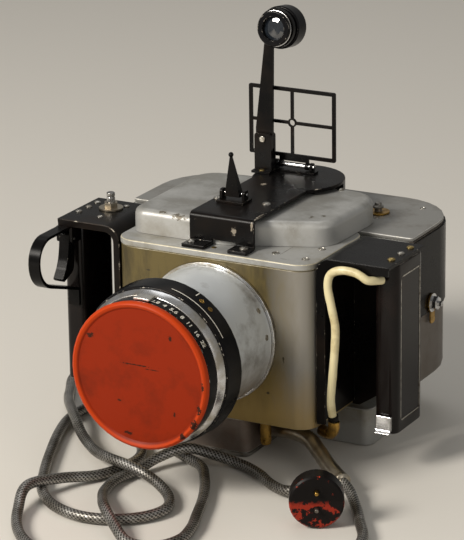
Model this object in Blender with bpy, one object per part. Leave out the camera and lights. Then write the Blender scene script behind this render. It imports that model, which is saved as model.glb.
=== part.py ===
"""Hand-held roll-film aerial camera with two grips, sighting frame and power lead.

World frame: X across the body, Y from the lens towards the film magazine,
Z up, with the surface that the pedestal stands on at Z = 0 and the lens axis
in the plane X = 0. Lengths are in millimetres and become metres in solid().
"""
import math

import bmesh
import bpy
from mathutils import Matrix, Vector

MM = 0.001
GAP = 0.3                      # clearance left between touching pieces

# Camera body
BODY_WIDTH = 191.0
BODY_HEIGHT = 150.0
BODY_FRONT = -48.0             # Y of the front wall
BODY_DEPTH = 110.0
BODY_CORNER = 17.0
BODY_WALL = 5.0
LID_HEIGHT = 6.0
LID_LIP = 0.8

# Pedestal and drive housing under the body
PEDESTAL_HEIGHT = 35.0
PEDESTAL_WIDTH = 67.0
BASE_PLATE = 4.0
DRIVE_WIDTH = 236.0
DRIVE_FRONT = 24.0             # Y of its front wall

# Lens, distances measured forwards from the front wall
LENS_DROP = 72.5               # lens axis below the top of the body
BARREL_RADIUS = 61.0
STOP_RING_START = 76.0
STOP_RING_RADIUS = 71.4
COLLAR_START = 99.0
COLLAR_RADIUS = 68.2
NAME_RING_START = 107.3
NAME_RING_RADIUS = 64.3
CAP_START = 119.7
CAP_RADIUS = 65.1
CAP_THICKNESS = 7.3
LENS_BORE = 50.0

# Film magazine
MAGAZINE_WIDTH = 280.0
MAGAZINE_DEPTH = 111.0
MAGAZINE_BOTTOM = 43.5
MAGAZINE_CORNER = 58.0
MAGAZINE_WALL = 4.0
MAGAZINE_RIM = 6.0             # rounding of its bottom edge
SPOOL_OFFSET = 90.0
SPOOL_RADIUS = 36.0

# Raised gear cover on top
COVER_HEIGHT = 22.0
COVER_BACK = 109.0

# Finder group
BRACKET_CENTRE = 2.0
BRACKET_WIDTH = 63.0
BRACKET_SHEET = 3.0
BRACKET_CLEAR = 3.0            # air between its underside and the gear cover
ROUND_END_SHIFT = 6.0          # its centre to the right of the bracket's
ROUND_END_Y = 103.0
ROUND_END_RADIUS = 42.0
SIGHT_X = -8.0
SIGHT_Y = 11.0
SIGHT_LENGTH = 38.0
SIGHT_LEAN = 7.0               # degrees forwards
FRAME_WIDTH = 87.0
FRAME_HEIGHT = 64.5
FRAME_X = -6.0
FRAME_Y = 119.0
STALK_X = -28.2
STALK_Y = 108.0
STALK_PIVOT = 31.0             # above the bracket
STALK_LENGTH = 99.3
STALK_LEAN = 7.5               # degrees backwards above the pivot
EYEPIECE_SHIFT = 6.8           # to the right of the post
EYEPIECE_TILT = 7.0            # degrees, its front end up
EYEPIECE_RADIUS = 19.4
EYEPIECE_LENGTH = 29.0

# Hand grips
GRIP_CENTRE = 154.0
GRIP_WIDTH = 22.0
GRIP_DEPTH = 54.0
GRIP_BOTTOM = 35.0
HANDLE_FRONT = -38.0
HANDLE_DEPTH = 71.0
HANDLE_REACH = 165.0           # outer edge of the right top plate
LEFT_SHORTER = 5.5             # left top plate's edge, nearer by this
HANDLE_RISE = 6.0              # top plate above the body top
HANDLE_SHEET = 3.0
FLANGE_WIDTH = 8.5             # stiffening edge along the front of the plate

# Leads
CORD_RADIUS = 4.75
SLEEVE_RADIUS = 3.7
CONDUIT_RADIUS = 7.4
PLUG_RADIUS = 23.0
PLUG_LENGTH = 20.0

# Derived positions
BODY_TOP = PEDESTAL_HEIGHT + BODY_HEIGHT
BODY_BACK = BODY_FRONT + BODY_DEPTH
HALF_BODY = BODY_WIDTH / 2
LENS_Z = BODY_TOP - LENS_DROP
MAGAZINE_FRONT = BODY_BACK + GAP
MAGAZINE_BACK = MAGAZINE_FRONT + MAGAZINE_DEPTH
HALF_MAGAZINE = MAGAZINE_WIDTH / 2
BRACKET_TOP = BODY_TOP + COVER_HEIGHT + BRACKET_CLEAR + BRACKET_SHEET
HANDLE_TOP = BODY_TOP + HANDLE_RISE
PLATE_UNDER = HANDLE_TOP - HANDLE_SHEET
BUTTON_AT = (-GRIP_CENTRE + GRIP_WIDTH / 2 + 11.5, 8, HANDLE_TOP)
FORWARD = (math.radians(90), 0, 0)      # turns local +Z to world -Y
SIDEWAYS = (0, math.radians(90), 0)     # turns local +Z to world +X

FINISHES = {
    "silver paint": ((0.33, 0.34, 0.34), 0.42, 0.55),
    "patina paint": ((0.27, 0.25, 0.19), 0.5, 0.35),
    "black enamel": ((0.012, 0.012, 0.013), 0.32, 0.0),
    "black anodised": ((0.02, 0.02, 0.023), 0.35, 0.4),
    "red paint": ((0.50, 0.055, 0.015), 0.42, 0.0),
    "chrome": ((0.75, 0.75, 0.76), 0.14, 1.0),
    "satin aluminium": ((0.62, 0.63, 0.65), 0.3, 1.0),
    "nickel tube": ((0.52, 0.49, 0.44), 0.32, 1.0),
    "brass": ((0.55, 0.40, 0.17), 0.35, 1.0),
    "steel": ((0.45, 0.45, 0.46), 0.35, 1.0),
    "glass": ((0.55, 0.62, 0.66), 0.03, 0.0),
    "cream sleeve": ((0.76, 0.70, 0.50), 0.45, 0.0),
    "metal braid": ((0.24, 0.24, 0.24), 0.4, 0.8),
    "film": ((0.06, 0.045, 0.04), 0.25, 0.0),
    "bakelite": ((0.02, 0.018, 0.018), 0.3, 0.0),
    "white metal": ((0.72, 0.73, 0.74), 0.35, 0.9),
}


def clear_scene():
    for item in list(bpy.data.objects):
        bpy.data.objects.remove(item, do_unlink=True)


def new_material(name, finish):
    colour, roughness, metallic = FINISHES[finish]
    material = bpy.data.materials.new(name + "_" + finish.replace(" ", "_"))
    material.use_nodes = True
    shader = material.node_tree.nodes["Principled BSDF"]
    shader.inputs["Base Color"].default_value = (*colour, 1.0)
    shader.inputs["Roughness"].default_value = roughness
    shader.inputs["Metallic"].default_value = metallic
    return material


def solid(name, shape, finish, at=(0, 0, 0), turn=(0, 0, 0)):
    """Finish a bmesh made in millimetres as one named object in metres."""
    bmesh.ops.remove_doubles(shape, verts=shape.verts, dist=0.001)
    bmesh.ops.scale(shape, vec=(MM, MM, MM), verts=shape.verts)
    bmesh.ops.recalc_face_normals(shape, faces=shape.faces)
    mesh = bpy.data.meshes.new(name)
    shape.to_mesh(mesh)
    shape.free()
    mesh.shade_smooth()
    mesh.set_sharp_from_angle(angle=math.radians(32))
    body = bpy.data.objects.new(name, mesh)
    body.location = [value * MM for value in at]
    body.rotation_euler = turn
    if finish:
        mesh.materials.append(new_material(name, finish))
    bpy.context.scene.collection.objects.link(body)
    return body


def combine(body, shape, operation, at=None, turn=None):
    """Cut with, or add, a hidden shape; it shares the body's place unless told."""
    cutter = solid(body.name + "_tool", shape, None)
    cutter.location = body.location if at is None else [value * MM for value in at]
    cutter.rotation_euler = body.rotation_euler if turn is None else turn
    cutter.hide_render = True
    cutter.display_type = "WIRE"
    change = body.modifiers.new(operation.title(), "BOOLEAN")
    change.operation = operation
    change.solver = "EXACT"
    change.object = cutter


def soften(body, width, segments=2, angle=40):
    bevel = body.modifiers.new("Soften", "BEVEL")
    bevel.width = width * MM
    bevel.segments = segments
    bevel.limit_method = "ANGLE"
    bevel.angle_limit = math.radians(angle)


def fillet(corners, radii, steps=4):
    """Round each corner of a closed outline with its own radius."""
    outline = []
    count = len(corners)
    for index, radius in enumerate(radii):
        here = Vector(corners[index])
        back = Vector(corners[index - 1]) - here
        ahead = Vector(corners[(index + 1) % count]) - here
        if radius <= 0:
            outline.append(here)
            continue
        half = back.angle(ahead) / 2
        reach = radius / math.tan(half)
        centre = here + (back.normalized() + ahead.normalized()).normalized() * (radius / math.sin(half))
        start = here + back.normalized() * reach - centre
        end = here + ahead.normalized() * reach - centre
        sweep = start.angle_signed(end)
        for step in range(steps + 1):
            outline.append(centre + Matrix.Rotation(-sweep * step / steps, 2) @ start)
    return outline


def rectangle(left, right, front, back, radius=0.0, steps=4):
    corners = [(left, front), (right, front), (right, back), (left, back)]
    return fillet(corners, [radius] * 4, steps)


def prism(outline, low, high):
    shape = bmesh.new()
    face = shape.faces.new([shape.verts.new((x, y, low)) for x, y in outline])
    top = bmesh.ops.extrude_face_region(shape, geom=[face])
    rising = [item for item in top["geom"] if isinstance(item, bmesh.types.BMVert)]
    bmesh.ops.translate(shape, vec=(0, 0, high - low), verts=rising)
    return shape


def side_prism(outline, left, right):
    """Extrude an outline of (y, z) points across X."""
    shape = prism(outline, left, right)
    swap = Matrix(((0, 0, 1, 0), (1, 0, 0, 0), (0, 1, 0, 0), (0, 0, 0, 1)))
    bmesh.ops.transform(shape, matrix=swap, verts=shape.verts)
    return shape


def front_prism(outline, front, back):
    """Extrude an outline of (x, z) points along Y."""
    shape = prism(outline, -back, -front)
    bmesh.ops.rotate(shape, matrix=Matrix.Rotation(math.radians(90), 3, "X"), verts=shape.verts)
    return shape


def box(left, right, front, back, low, high):
    return prism(rectangle(left, right, front, back), low, high)


def turned(profile, sides=40):
    """Turn a closed (radius, height) profile about local Z."""
    shape = bmesh.new()
    points = [shape.verts.new((radius, 0, height)) for radius, height in profile]
    edges = [shape.edges.new((points[i - 1], points[i])) for i in range(len(points))]
    bmesh.ops.spin(shape, geom=points + edges, axis=(0, 0, 1), cent=(0, 0, 0),
                   angle=math.tau, steps=sides, use_merge=True)
    bmesh.ops.remove_doubles(shape, verts=shape.verts, dist=0.001)
    bmesh.ops.dissolve_degenerate(shape, edges=shape.edges, dist=0.0005)
    return shape


def ring(inner, outer, low, high, sides=40):
    return turned([(inner, low), (outer, low), (outer, high), (inner, high)], sides)


def disc(radius, low, high, sides=24):
    return turned([(0, low), (radius, low), (radius, high), (0, high)], sides)


def smooth_route(stops, count):
    """Even points along a centripetal curve through the stops."""
    path = [Vector(stop) for stop in stops]
    path = [path[0] * 2 - path[1]] + path + [path[-1] * 2 - path[-2]]
    fine = []
    for p0, p1, p2, p3 in zip(path, path[1:], path[2:], path[3:]):
        t1 = (p1 - p0).length ** 0.5
        t2 = t1 + (p2 - p1).length ** 0.5
        t3 = t2 + (p3 - p2).length ** 0.5
        for step in range(24):
            t = t1 + (t2 - t1) * step / 24
            a1 = p0 * ((t1 - t) / t1) + p1 * (t / t1)
            a2 = p1 * ((t2 - t) / (t2 - t1)) + p2 * ((t - t1) / (t2 - t1))
            a3 = p2 * ((t3 - t) / (t3 - t2)) + p3 * ((t - t2) / (t3 - t2))
            b1 = a1 * ((t2 - t) / t2) + a2 * (t / t2)
            b2 = a2 * ((t3 - t) / (t3 - t1)) + a3 * ((t - t1) / (t3 - t1))
            fine.append(b1 * ((t2 - t) / (t2 - t1)) + b2 * ((t - t1) / (t2 - t1)))
    fine.append(path[-2])
    lengths = [0.0]
    for here, following in zip(fine, fine[1:]):
        lengths.append(lengths[-1] + (following - here).length)
    even = []
    index = 0
    for step in range(count):
        wanted = lengths[-1] * step / (count - 1)
        while index < len(fine) - 2 and lengths[index + 1] < wanted:
            index += 1
        share = (wanted - lengths[index]) / (lengths[index + 1] - lengths[index])
        even.append(fine[index].lerp(fine[index + 1], share))
    return even


def lead(name, points, radius, finish, sides=2):
    curve = bpy.data.curves.new(name, "CURVE")
    curve.dimensions = "3D"
    curve.bevel_depth = radius * MM
    curve.bevel_resolution = sides
    curve.use_fill_caps = True
    spline = curve.splines.new("POLY")
    spline.points.add(len(points) - 1)
    for knot, point in zip(spline.points, points):
        knot.co = (*(point * MM), 1.0)
    curve.materials.append(new_material(name, finish))
    body = bpy.data.objects.new(name, curve)
    bpy.context.scene.collection.objects.link(body)
    return body


def pipe(points, outer, inner, sides=16):
    """Hollow round pipe along a route, open at both ends."""
    shape = bmesh.new()
    loops = []
    side = None
    for index, point in enumerate(points):
        before = points[max(index - 1, 0)]
        after = points[min(index + 1, len(points) - 1)]
        along = (after - before).normalized()
        side = along.orthogonal() if side is None else side - along * side.dot(along)
        side.normalize()
        other = along.cross(side)
        pair = []
        for radius in (outer, inner):
            spokes = [math.tau * step / sides for step in range(sides)]
            pair.append([shape.verts.new(point + (side * math.cos(a) + other * math.sin(a)) * radius)
                         for a in spokes])
        loops.append(pair)
    for first, second in zip(loops, loops[1:]):
        for wall in (0, 1):
            for i in range(sides):
                shape.faces.new((first[wall][i - 1], first[wall][i], second[wall][i], second[wall][i - 1]))
    for end in (loops[0], loops[-1]):
        for i in range(sides):
            shape.faces.new((end[0][i - 1], end[0][i], end[1][i], end[1][i - 1]))
    return shape


def build_body():
    floor = PEDESTAL_HEIGHT
    rim = BODY_TOP - LID_HEIGHT - GAP
    outline = rectangle(-HALF_BODY, HALF_BODY, BODY_FRONT, BODY_BACK, BODY_CORNER, 6)
    body = solid("front_body", prism(outline, floor, rim), "patina paint")
    inner = rectangle(-HALF_BODY + BODY_WALL, HALF_BODY - BODY_WALL, BODY_FRONT + BODY_WALL,
                      BODY_BACK - BODY_WALL, BODY_CORNER - BODY_WALL, 3)
    combine(body, prism(inner, floor + BODY_WALL, rim + 5), "DIFFERENCE")
    combine(body, disc(LENS_BORE, -BODY_WALL - 5, 5, 48), "DIFFERENCE",
            at=(0, BODY_FRONT, LENS_Z), turn=FORWARD)
    combine(body, box(-42, 42, BODY_BACK - BODY_WALL - 3, BODY_BACK + 3, LENS_Z - 36, LENS_Z + 36),
            "DIFFERENCE")
    lid_outline = rectangle(-HALF_BODY - LID_LIP, HALF_BODY + LID_LIP, BODY_FRONT - LID_LIP,
                            BODY_BACK, BODY_CORNER + LID_LIP, 6)
    lid = solid("body_lid", prism(lid_outline, BODY_TOP - LID_HEIGHT, BODY_TOP), "silver paint")
    soften(lid, 1.2)


def build_base():
    half = PEDESTAL_WIDTH / 2
    top = PEDESTAL_HEIGHT - GAP
    outline = rectangle(-half, half, BODY_FRONT + 1, DRIVE_FRONT - GAP, 8)
    pedestal = solid("pedestal_housing", prism(outline, BASE_PLATE + GAP, top), "silver paint")
    hollow = rectangle(-half + 3, half - 3, BODY_FRONT + 4, DRIVE_FRONT - GAP - 3, 5)
    combine(pedestal, prism(hollow, -1, top - 3), "DIFFERENCE")
    plate = solid("base_plate", prism(outline, 0, BASE_PLATE), "steel")
    soften(plate, 0.8, 1)
    wide = DRIVE_WIDTH / 2
    drive = rectangle(-wide, wide, DRIVE_FRONT, MAGAZINE_FRONT + 42, 10)
    housing = solid("drive_housing", prism(drive, 0, top), "silver paint")
    soften(housing, 2.0)
    room = rectangle(-wide + 3, wide - 3, DRIVE_FRONT + 3, MAGAZINE_FRONT + 39, 7)
    combine(housing, prism(room, -1, top - 3), "DIFFERENCE")
    stud = turned([(0, 12), (4.2, 13.5), (5, 17), (5, top), (0, top)], 20)
    solid("brass_stud", stud, "brass", at=(half + 14, BODY_FRONT + 9, 0))


def build_lens():
    at = (0, BODY_FRONT, LENS_Z)
    flange = ring(LENS_BORE + 1, BARREL_RADIUS + 2.5, GAP, 3.5)
    solid("lens_flange", flange, "satin aluminium", at, FORWARD)
    bore = BARREL_RADIUS - 6
    barrel = turned([(bore, 3.8), (BARREL_RADIUS, 3.8), (BARREL_RADIUS, COLLAR_START - GAP),
                     (bore, COLLAR_START - GAP)], 48)
    solid("lens_barrel", barrel, "silver paint", at, FORWARD)
    inner = BARREL_RADIUS + GAP
    edge = STOP_RING_RADIUS
    end = COLLAR_START - GAP
    stop = turned([(inner, STOP_RING_START), (edge - 1, STOP_RING_START),
                   (edge, STOP_RING_START + 1.2), (edge - 1.2, end - 1.5),
                   (edge - 2.4, end), (inner, end)], 48)
    solid("stop_ring", stop, "black anodised", at, FORWARD)
    collar = turned([(LENS_BORE + 2, COLLAR_START), (COLLAR_RADIUS, COLLAR_START),
                     (COLLAR_RADIUS, COLLAR_START + 3), (NAME_RING_RADIUS + 0.6, NAME_RING_START - GAP),
                     (LENS_BORE + 2, NAME_RING_START - GAP)], 48)
    solid("front_collar", collar, "satin aluminium", at, FORWARD)
    tip = CAP_START - GAP
    name = turned([(LENS_BORE, NAME_RING_START), (NAME_RING_RADIUS, NAME_RING_START),
                   (NAME_RING_RADIUS - 0.6, tip - 1), (NAME_RING_RADIUS - 1.6, tip),
                   (LENS_BORE, tip)], 48)
    solid("front_ring", name, "black anodised", at, FORWARD)
    rim = LENS_BORE - GAP
    glass = [(0, 95), (rim * 0.6, 96.5), (rim, 100), (rim, 103), (rim * 0.6, 106.5), (0, 108)]
    solid("front_lens", turned(glass), "glass", at, FORWARD)
    rear = [(0, 8), (22, 9.2), (bore - GAP, 13), (bore - GAP, 19), (26, 22.5), (0, 24)]
    solid("rear_lens", turned(rear), "glass", at, FORWARD)
    case = ring(38, 62, -BODY_WALL - GAP - 16, -BODY_WALL - GAP, 32)
    shutter_case = solid("shutter_case", case, "black anodised", at, FORWARD)
    slot = ring(30, 58, -BODY_WALL - GAP - 10, -BODY_WALL - GAP - 6, 32)
    combine(shutter_case, slot, "DIFFERENCE")
    blade = disc(57.4, -BODY_WALL - GAP - 9.4, -BODY_WALL - GAP - 6.6, 32)
    shutter = solid("shutter_disc", blade, "steel", at, FORWARD)
    window = prism([(0, 8), (34, 8), (34, 40), (0, 40)], -30, 0)
    combine(shutter, window, "DIFFERENCE")


def build_cap():
    radius = CAP_RADIUS
    end = CAP_THICKNESS
    at = (0, BODY_FRONT - CAP_START, LENS_Z)
    face = turned([(0, end - 2.2), (radius - 6.5, end - 2.2), (radius - 4.8, end - 0.8),
                   (radius - 2.6, end), (radius - 0.9, end - 0.9), (radius, end - 2.8),
                   (radius - 0.6, 1.0), (radius - 2, 0), (LENS_BORE - 1, 0),
                   (LENS_BORE - 1, -4), (LENS_BORE - 4, -4), (LENS_BORE - 4, 2.2), (0, 2.2)], 48)
    solid("lens_cap", face, "red paint", at, FORWARD)
    reach = CAP_START - NAME_RING_START
    for name, middle in (("cap_clip_top", 90), ("cap_clip_bottom", 270)):
        angles = [math.radians(middle + step) for step in (-6.4, -3.2, 0, 3.2, 6.4)]
        near = NAME_RING_RADIUS + 2 * GAP
        outline = [(near * math.cos(a), near * math.sin(a)) for a in angles]
        outline += [((near + 1.8) * math.cos(a), (near + 1.8) * math.sin(a)) for a in angles[::-1]]
        solid(name, prism(outline, 1 - reach, -GAP), "white metal", at, FORWARD)


def build_magazine():
    top = BODY_TOP
    lid = 3.7
    low = MAGAZINE_BOTTOM
    half = HALF_MAGAZINE
    corners = [(-half, MAGAZINE_FRONT), (half, MAGAZINE_FRONT), (half, MAGAZINE_BACK), (-half, MAGAZINE_BACK)]
    radii = [3, 3, MAGAZINE_CORNER, MAGAZINE_CORNER]
    outline = fillet(corners, radii, 7)
    shape = prism(outline, low, top - lid - GAP)
    rim = [edge for edge in shape.edges if all(vert.co.z < low + 1 for vert in edge.verts)]
    bmesh.ops.bevel(shape, geom=rim, offset=MAGAZINE_RIM, segments=3, profile=0.5, affect="EDGES")
    shell = solid("magazine_shell", shape, "silver paint")
    wall = MAGAZINE_WALL
    room_corners = [(x - math.copysign(wall, x), y + (wall if y == MAGAZINE_FRONT else -wall))
                    for x, y in corners]
    room = fillet(room_corners, [0, 0, MAGAZINE_CORNER - wall, MAGAZINE_CORNER - wall], 5)
    combine(shell, prism(room, low + MAGAZINE_RIM, top), "DIFFERENCE")
    gate = box(-36, 36, MAGAZINE_FRONT - 3, MAGAZINE_FRONT + wall + 2, LENS_Z - 32, LENS_Z + 32)
    combine(shell, gate, "DIFFERENCE")
    plate = solid("magazine_lid", prism(outline, top - lid, top), "silver paint")
    soften(plate, 1.2)
    back = MAGAZINE_FRONT + wall + GAP
    pad = box(-34, 34, 0, 2.5, -30, 30)
    solid("pressure_plate", pad, "steel", at=(0, back, LENS_Z))
    spool_low = low + MAGAZINE_RIM + 1
    spool_high = top - lid - 3
    for name, side in (("supply_spool", -1), ("take_up_spool", 1)):
        profile = [(4, 0), (SPOOL_RADIUS, 0), (SPOOL_RADIUS, 2), (9, 2), (9, spool_high - spool_low - 2),
                   (SPOOL_RADIUS, spool_high - spool_low - 2), (SPOOL_RADIUS, spool_high - spool_low),
                   (4, spool_high - spool_low)]
        solid(name, turned(profile, 24), "black anodised",
              at=(side * SPOOL_OFFSET, MAGAZINE_FRONT + 52, spool_low))
    roll = ring(9 + GAP, SPOOL_RADIUS - 5, 2 + GAP, spool_high - spool_low - 2 - GAP, 24)
    solid("film_roll", roll, "film", at=(-SPOOL_OFFSET, MAGAZINE_FRONT + 52, spool_low))
    for name, side in (("side_plate_left", -1), ("side_plate_right", 1)):
        wide = half + 1.7
        band = fillet([(side * (half - 62), MAGAZINE_BACK + 1.7), (side * wide, MAGAZINE_BACK + 1.7),
                       (side * wide, MAGAZINE_FRONT + 3)], [0, MAGAZINE_CORNER + 1.4, 0], 8)
        inside = fillet([(side * (half - 62), MAGAZINE_BACK + GAP), (side * (half + GAP), MAGAZINE_BACK + GAP),
                         (side * (half + GAP), MAGAZINE_FRONT + 3)], [0, MAGAZINE_CORNER, 0], 8)
        solid(name, prism(band + inside[::-1], top - 77, top - 5), "black enamel")
        hub = (side * (wide + GAP), MAGAZINE_FRONT + 35.7, top - 69)
        face = (0, side * math.radians(90), 0)
        washer = disc(8.5, 0, 1.8, 24)
        latch = solid("latch_left" if side < 0 else "latch_right", washer, "chrome", hub, face)
        tongue = prism(rectangle(-4.5, 4.5, 0, 19, 3), 0.2, 1.6)
        turn_down = Matrix.Rotation(math.radians(-90 * side), 3, "Z")
        bmesh.ops.rotate(tongue, matrix=turn_down, verts=tongue.verts)
        combine(latch, tongue, "UNION")
        nut = turned([(0, 1), (6.4, 1), (6.4, 6.6), (5.6, 7.2), (2.6, 7.2), (2.6, 10.5), (0, 10.5)], 6)
        combine(latch, nut, "UNION")
    knob_at = (80, MAGAZINE_FRONT + 56, top + GAP)
    pin = turned([(0, 0), (10.4, 0), (10.4, 1.6), (3.4, 1.8), (3.4, 4.5), (5, 4.6), (5, 6.2), (3.4, 7.4),
                  (3, 9.4), (0, 10.2)], 20)
    solid("counter_knob", pin, "steel", knob_at)


def cover_outline(inset):
    """Plan of the gear cover: its front steps back towards the right side."""
    left = -92 + inset
    right = 91 - inset
    front = BODY_FRONT + 21 + inset
    back = COVER_BACK - inset
    corners = [(left, front), (0, front), (right - 3, front + 35), (right, back), (left, back)]
    radii = [14 - inset, 40, 24 - inset, 28 - inset, 25 - inset]
    return fillet(corners, radii, 5)


def build_cover():
    low = BODY_TOP + GAP
    high = BODY_TOP + COVER_HEIGHT
    shape = prism(cover_outline(0), low, high)
    rim = [edge for edge in shape.edges if all(vert.co.z > high - 1 for vert in edge.verts)]
    bmesh.ops.bevel(shape, geom=rim, offset=6.5, segments=4, profile=0.5, affect="EDGES")
    cover = solid("gear_cover", shape, "silver paint")
    combine(cover, prism(cover_outline(4), low - 5, high - 4), "DIFFERENCE")


def build_bracket():
    left = BRACKET_CENTRE - BRACKET_WIDTH / 2
    right = BRACKET_CENTRE + BRACKET_WIDTH / 2
    top = BRACKET_TOP
    sheet = BRACKET_SHEET
    front = BODY_FRONT + 17
    foot = BODY_TOP + GAP
    bend = 5.0
    profile = fillet([(front - 15, foot), (front + sheet, foot), (front + sheet, top - sheet),
                      (ROUND_END_Y, top - sheet), (ROUND_END_Y, top), (front, top),
                      (front, foot + sheet), (front - 15, foot + sheet)],
                     [0, 0, bend - sheet, 0, 0, bend, 0, 0], 4)
    bracket = solid("finder_bracket", side_prism(profile, left, right), "black enamel")
    notch = box(left + 22, right - 18, front - 20, front + sheet + 2, foot - 5, foot + 5)
    combine(bracket, notch, "DIFFERENCE")
    centre = (BRACKET_CENTRE + ROUND_END_SHIFT, ROUND_END_Y, 0)
    combine(bracket, disc(ROUND_END_RADIUS, top - sheet, top, 40), "UNION", at=centre)
    skirt = ring(ROUND_END_RADIUS - sheet, ROUND_END_RADIUS, foot + 2, top - sheet / 2, 40)
    clear = COVER_BACK + 1 - ROUND_END_Y
    bmesh.ops.bisect_plane(skirt, geom=skirt.verts[:] + skirt.edges[:] + skirt.faces[:],
                           plane_co=(0, clear, 0), plane_no=(0, 1, 0), clear_inner=True)
    bmesh.ops.holes_fill(skirt, edges=skirt.edges)
    combine(bracket, skirt, "UNION", at=centre)


def build_sight():
    deck = BRACKET_TOP + GAP
    axis = deck + 7.5
    base = box(-13, 13, -9, 9, deck - axis, deck - axis + 2)
    block = solid("sight_base", base, "black enamel", at=(SIGHT_X, SIGHT_Y, axis))
    for side in (-1, 1):
        ear = side_prism(rectangle(-4, 4, -6.5, 3.5, 2.5), side * 11 - 1.2, side * 11 + 1.2)
        combine(block, ear, "UNION")
    combine(block, turned([(0, -20), (1.75, -20), (1.75, 20), (0, 20)], 12), "DIFFERENCE", turn=SIDEWAYS)
    pin = turned([(0, -13.5), (1.4, -13.5), (1.4, 13.5), (0, 13.5)], 12)
    solid("sight_pin", pin, "chrome", at=(SIGHT_X, SIGHT_Y, axis), turn=SIDEWAYS)
    post = bmesh.new()
    bmesh.ops.create_cone(post, cap_ends=True, segments=4, radius1=10.4, radius2=1.3, depth=SIGHT_LENGTH)
    bmesh.ops.rotate(post, matrix=Matrix.Rotation(math.radians(45), 3, "Z"), verts=post.verts)
    bmesh.ops.scale(post, vec=(1, 0.55, 1), verts=post.verts)
    bmesh.ops.translate(post, vec=(0, 0, SIGHT_LENGTH / 2 - 2.5), verts=post.verts)
    lean = math.tan(math.radians(SIGHT_LEAN))
    for corner in post.verts:
        corner.co.y -= corner.co.z * lean
    blade = solid("front_sight", post, "black enamel", at=(SIGHT_X, SIGHT_Y, axis))
    ball = bmesh.new()
    bmesh.ops.create_uvsphere(ball, u_segments=12, v_segments=8, radius=2.3)
    bmesh.ops.translate(ball, vec=(0, (2 - SIGHT_LENGTH) * lean, SIGHT_LENGTH - 2), verts=ball.verts)
    combine(blade, ball, "UNION")
    combine(blade, turned([(0, -20), (1.75, -20), (1.75, 20), (0, 20)], 12), "DIFFERENCE", turn=SIDEWAYS)


def build_frame_finder():
    deck = BRACKET_TOP + GAP
    axis = deck + 5.5
    at = (FRAME_X, FRAME_Y, axis)
    plate = box(-19, 24, -6, 4, deck - axis, deck - axis + 1.6)
    foot = solid("frame_hinge", plate, "black enamel", at)
    for x in (-16, 19.5):
        ear = side_prism(rectangle(-3.4, 3.4, deck - axis + 0.4, 3.6, 2.8), x - 1.3, x + 1.3)
        combine(foot, ear, "UNION")
    combine(foot, disc(2.5, -26, 26, 16), "DIFFERENCE", turn=SIDEWAYS)
    solid("hinge_rod", disc(2.2, -19, 22.5, 16), "chrome", at, SIDEWAYS)
    low = 6.8
    half = FRAME_WIDTH / 2
    high = low + FRAME_HEIGHT
    bar = 3.4
    outer = rectangle(-half, half, low, high, 1.5, 2)
    frame = solid("finder_frame", front_prism(outer, -1, 1), "black enamel", at)
    middle = (low + high) / 2
    window_x = (half - bar) / 2 + 0.7
    for side in (-1, 1):
        for rise in (-1, 1):
            x1 = window_x * side
            reach_x = (half - bar - 1.4) / 2
            reach_z = (FRAME_HEIGHT / 2 - bar - 1.4) / 2
            z1 = middle + rise * (reach_z + 1.4)
            opening = rectangle(x1 - reach_x, x1 + reach_x, z1 - reach_z, z1 + reach_z)
            combine(frame, front_prism(opening, -3, 3), "DIFFERENCE")
    combine(frame, disc(4.2, -1, 1, 16), "UNION", at=(FRAME_X, FRAME_Y, axis + middle), turn=FORWARD)
    combine(frame, disc(2.8, -3, 3, 12), "DIFFERENCE", at=(FRAME_X, FRAME_Y, axis + middle), turn=FORWARD)
    combine(frame, box(-13, 16.5, -0.9, 0.9, 3.4, low + 1), "UNION")
    for inner in (-13, 13.5):
        combine(frame, disc(3.4, inner, inner + 3, 16), "UNION", turn=SIDEWAYS)
        combine(frame, box(inner, inner + 3, -0.9, 0.9, 2.6, low + 1), "UNION")
    combine(frame, disc(2.5, -18, 20, 16), "DIFFERENCE", turn=SIDEWAYS)


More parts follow.
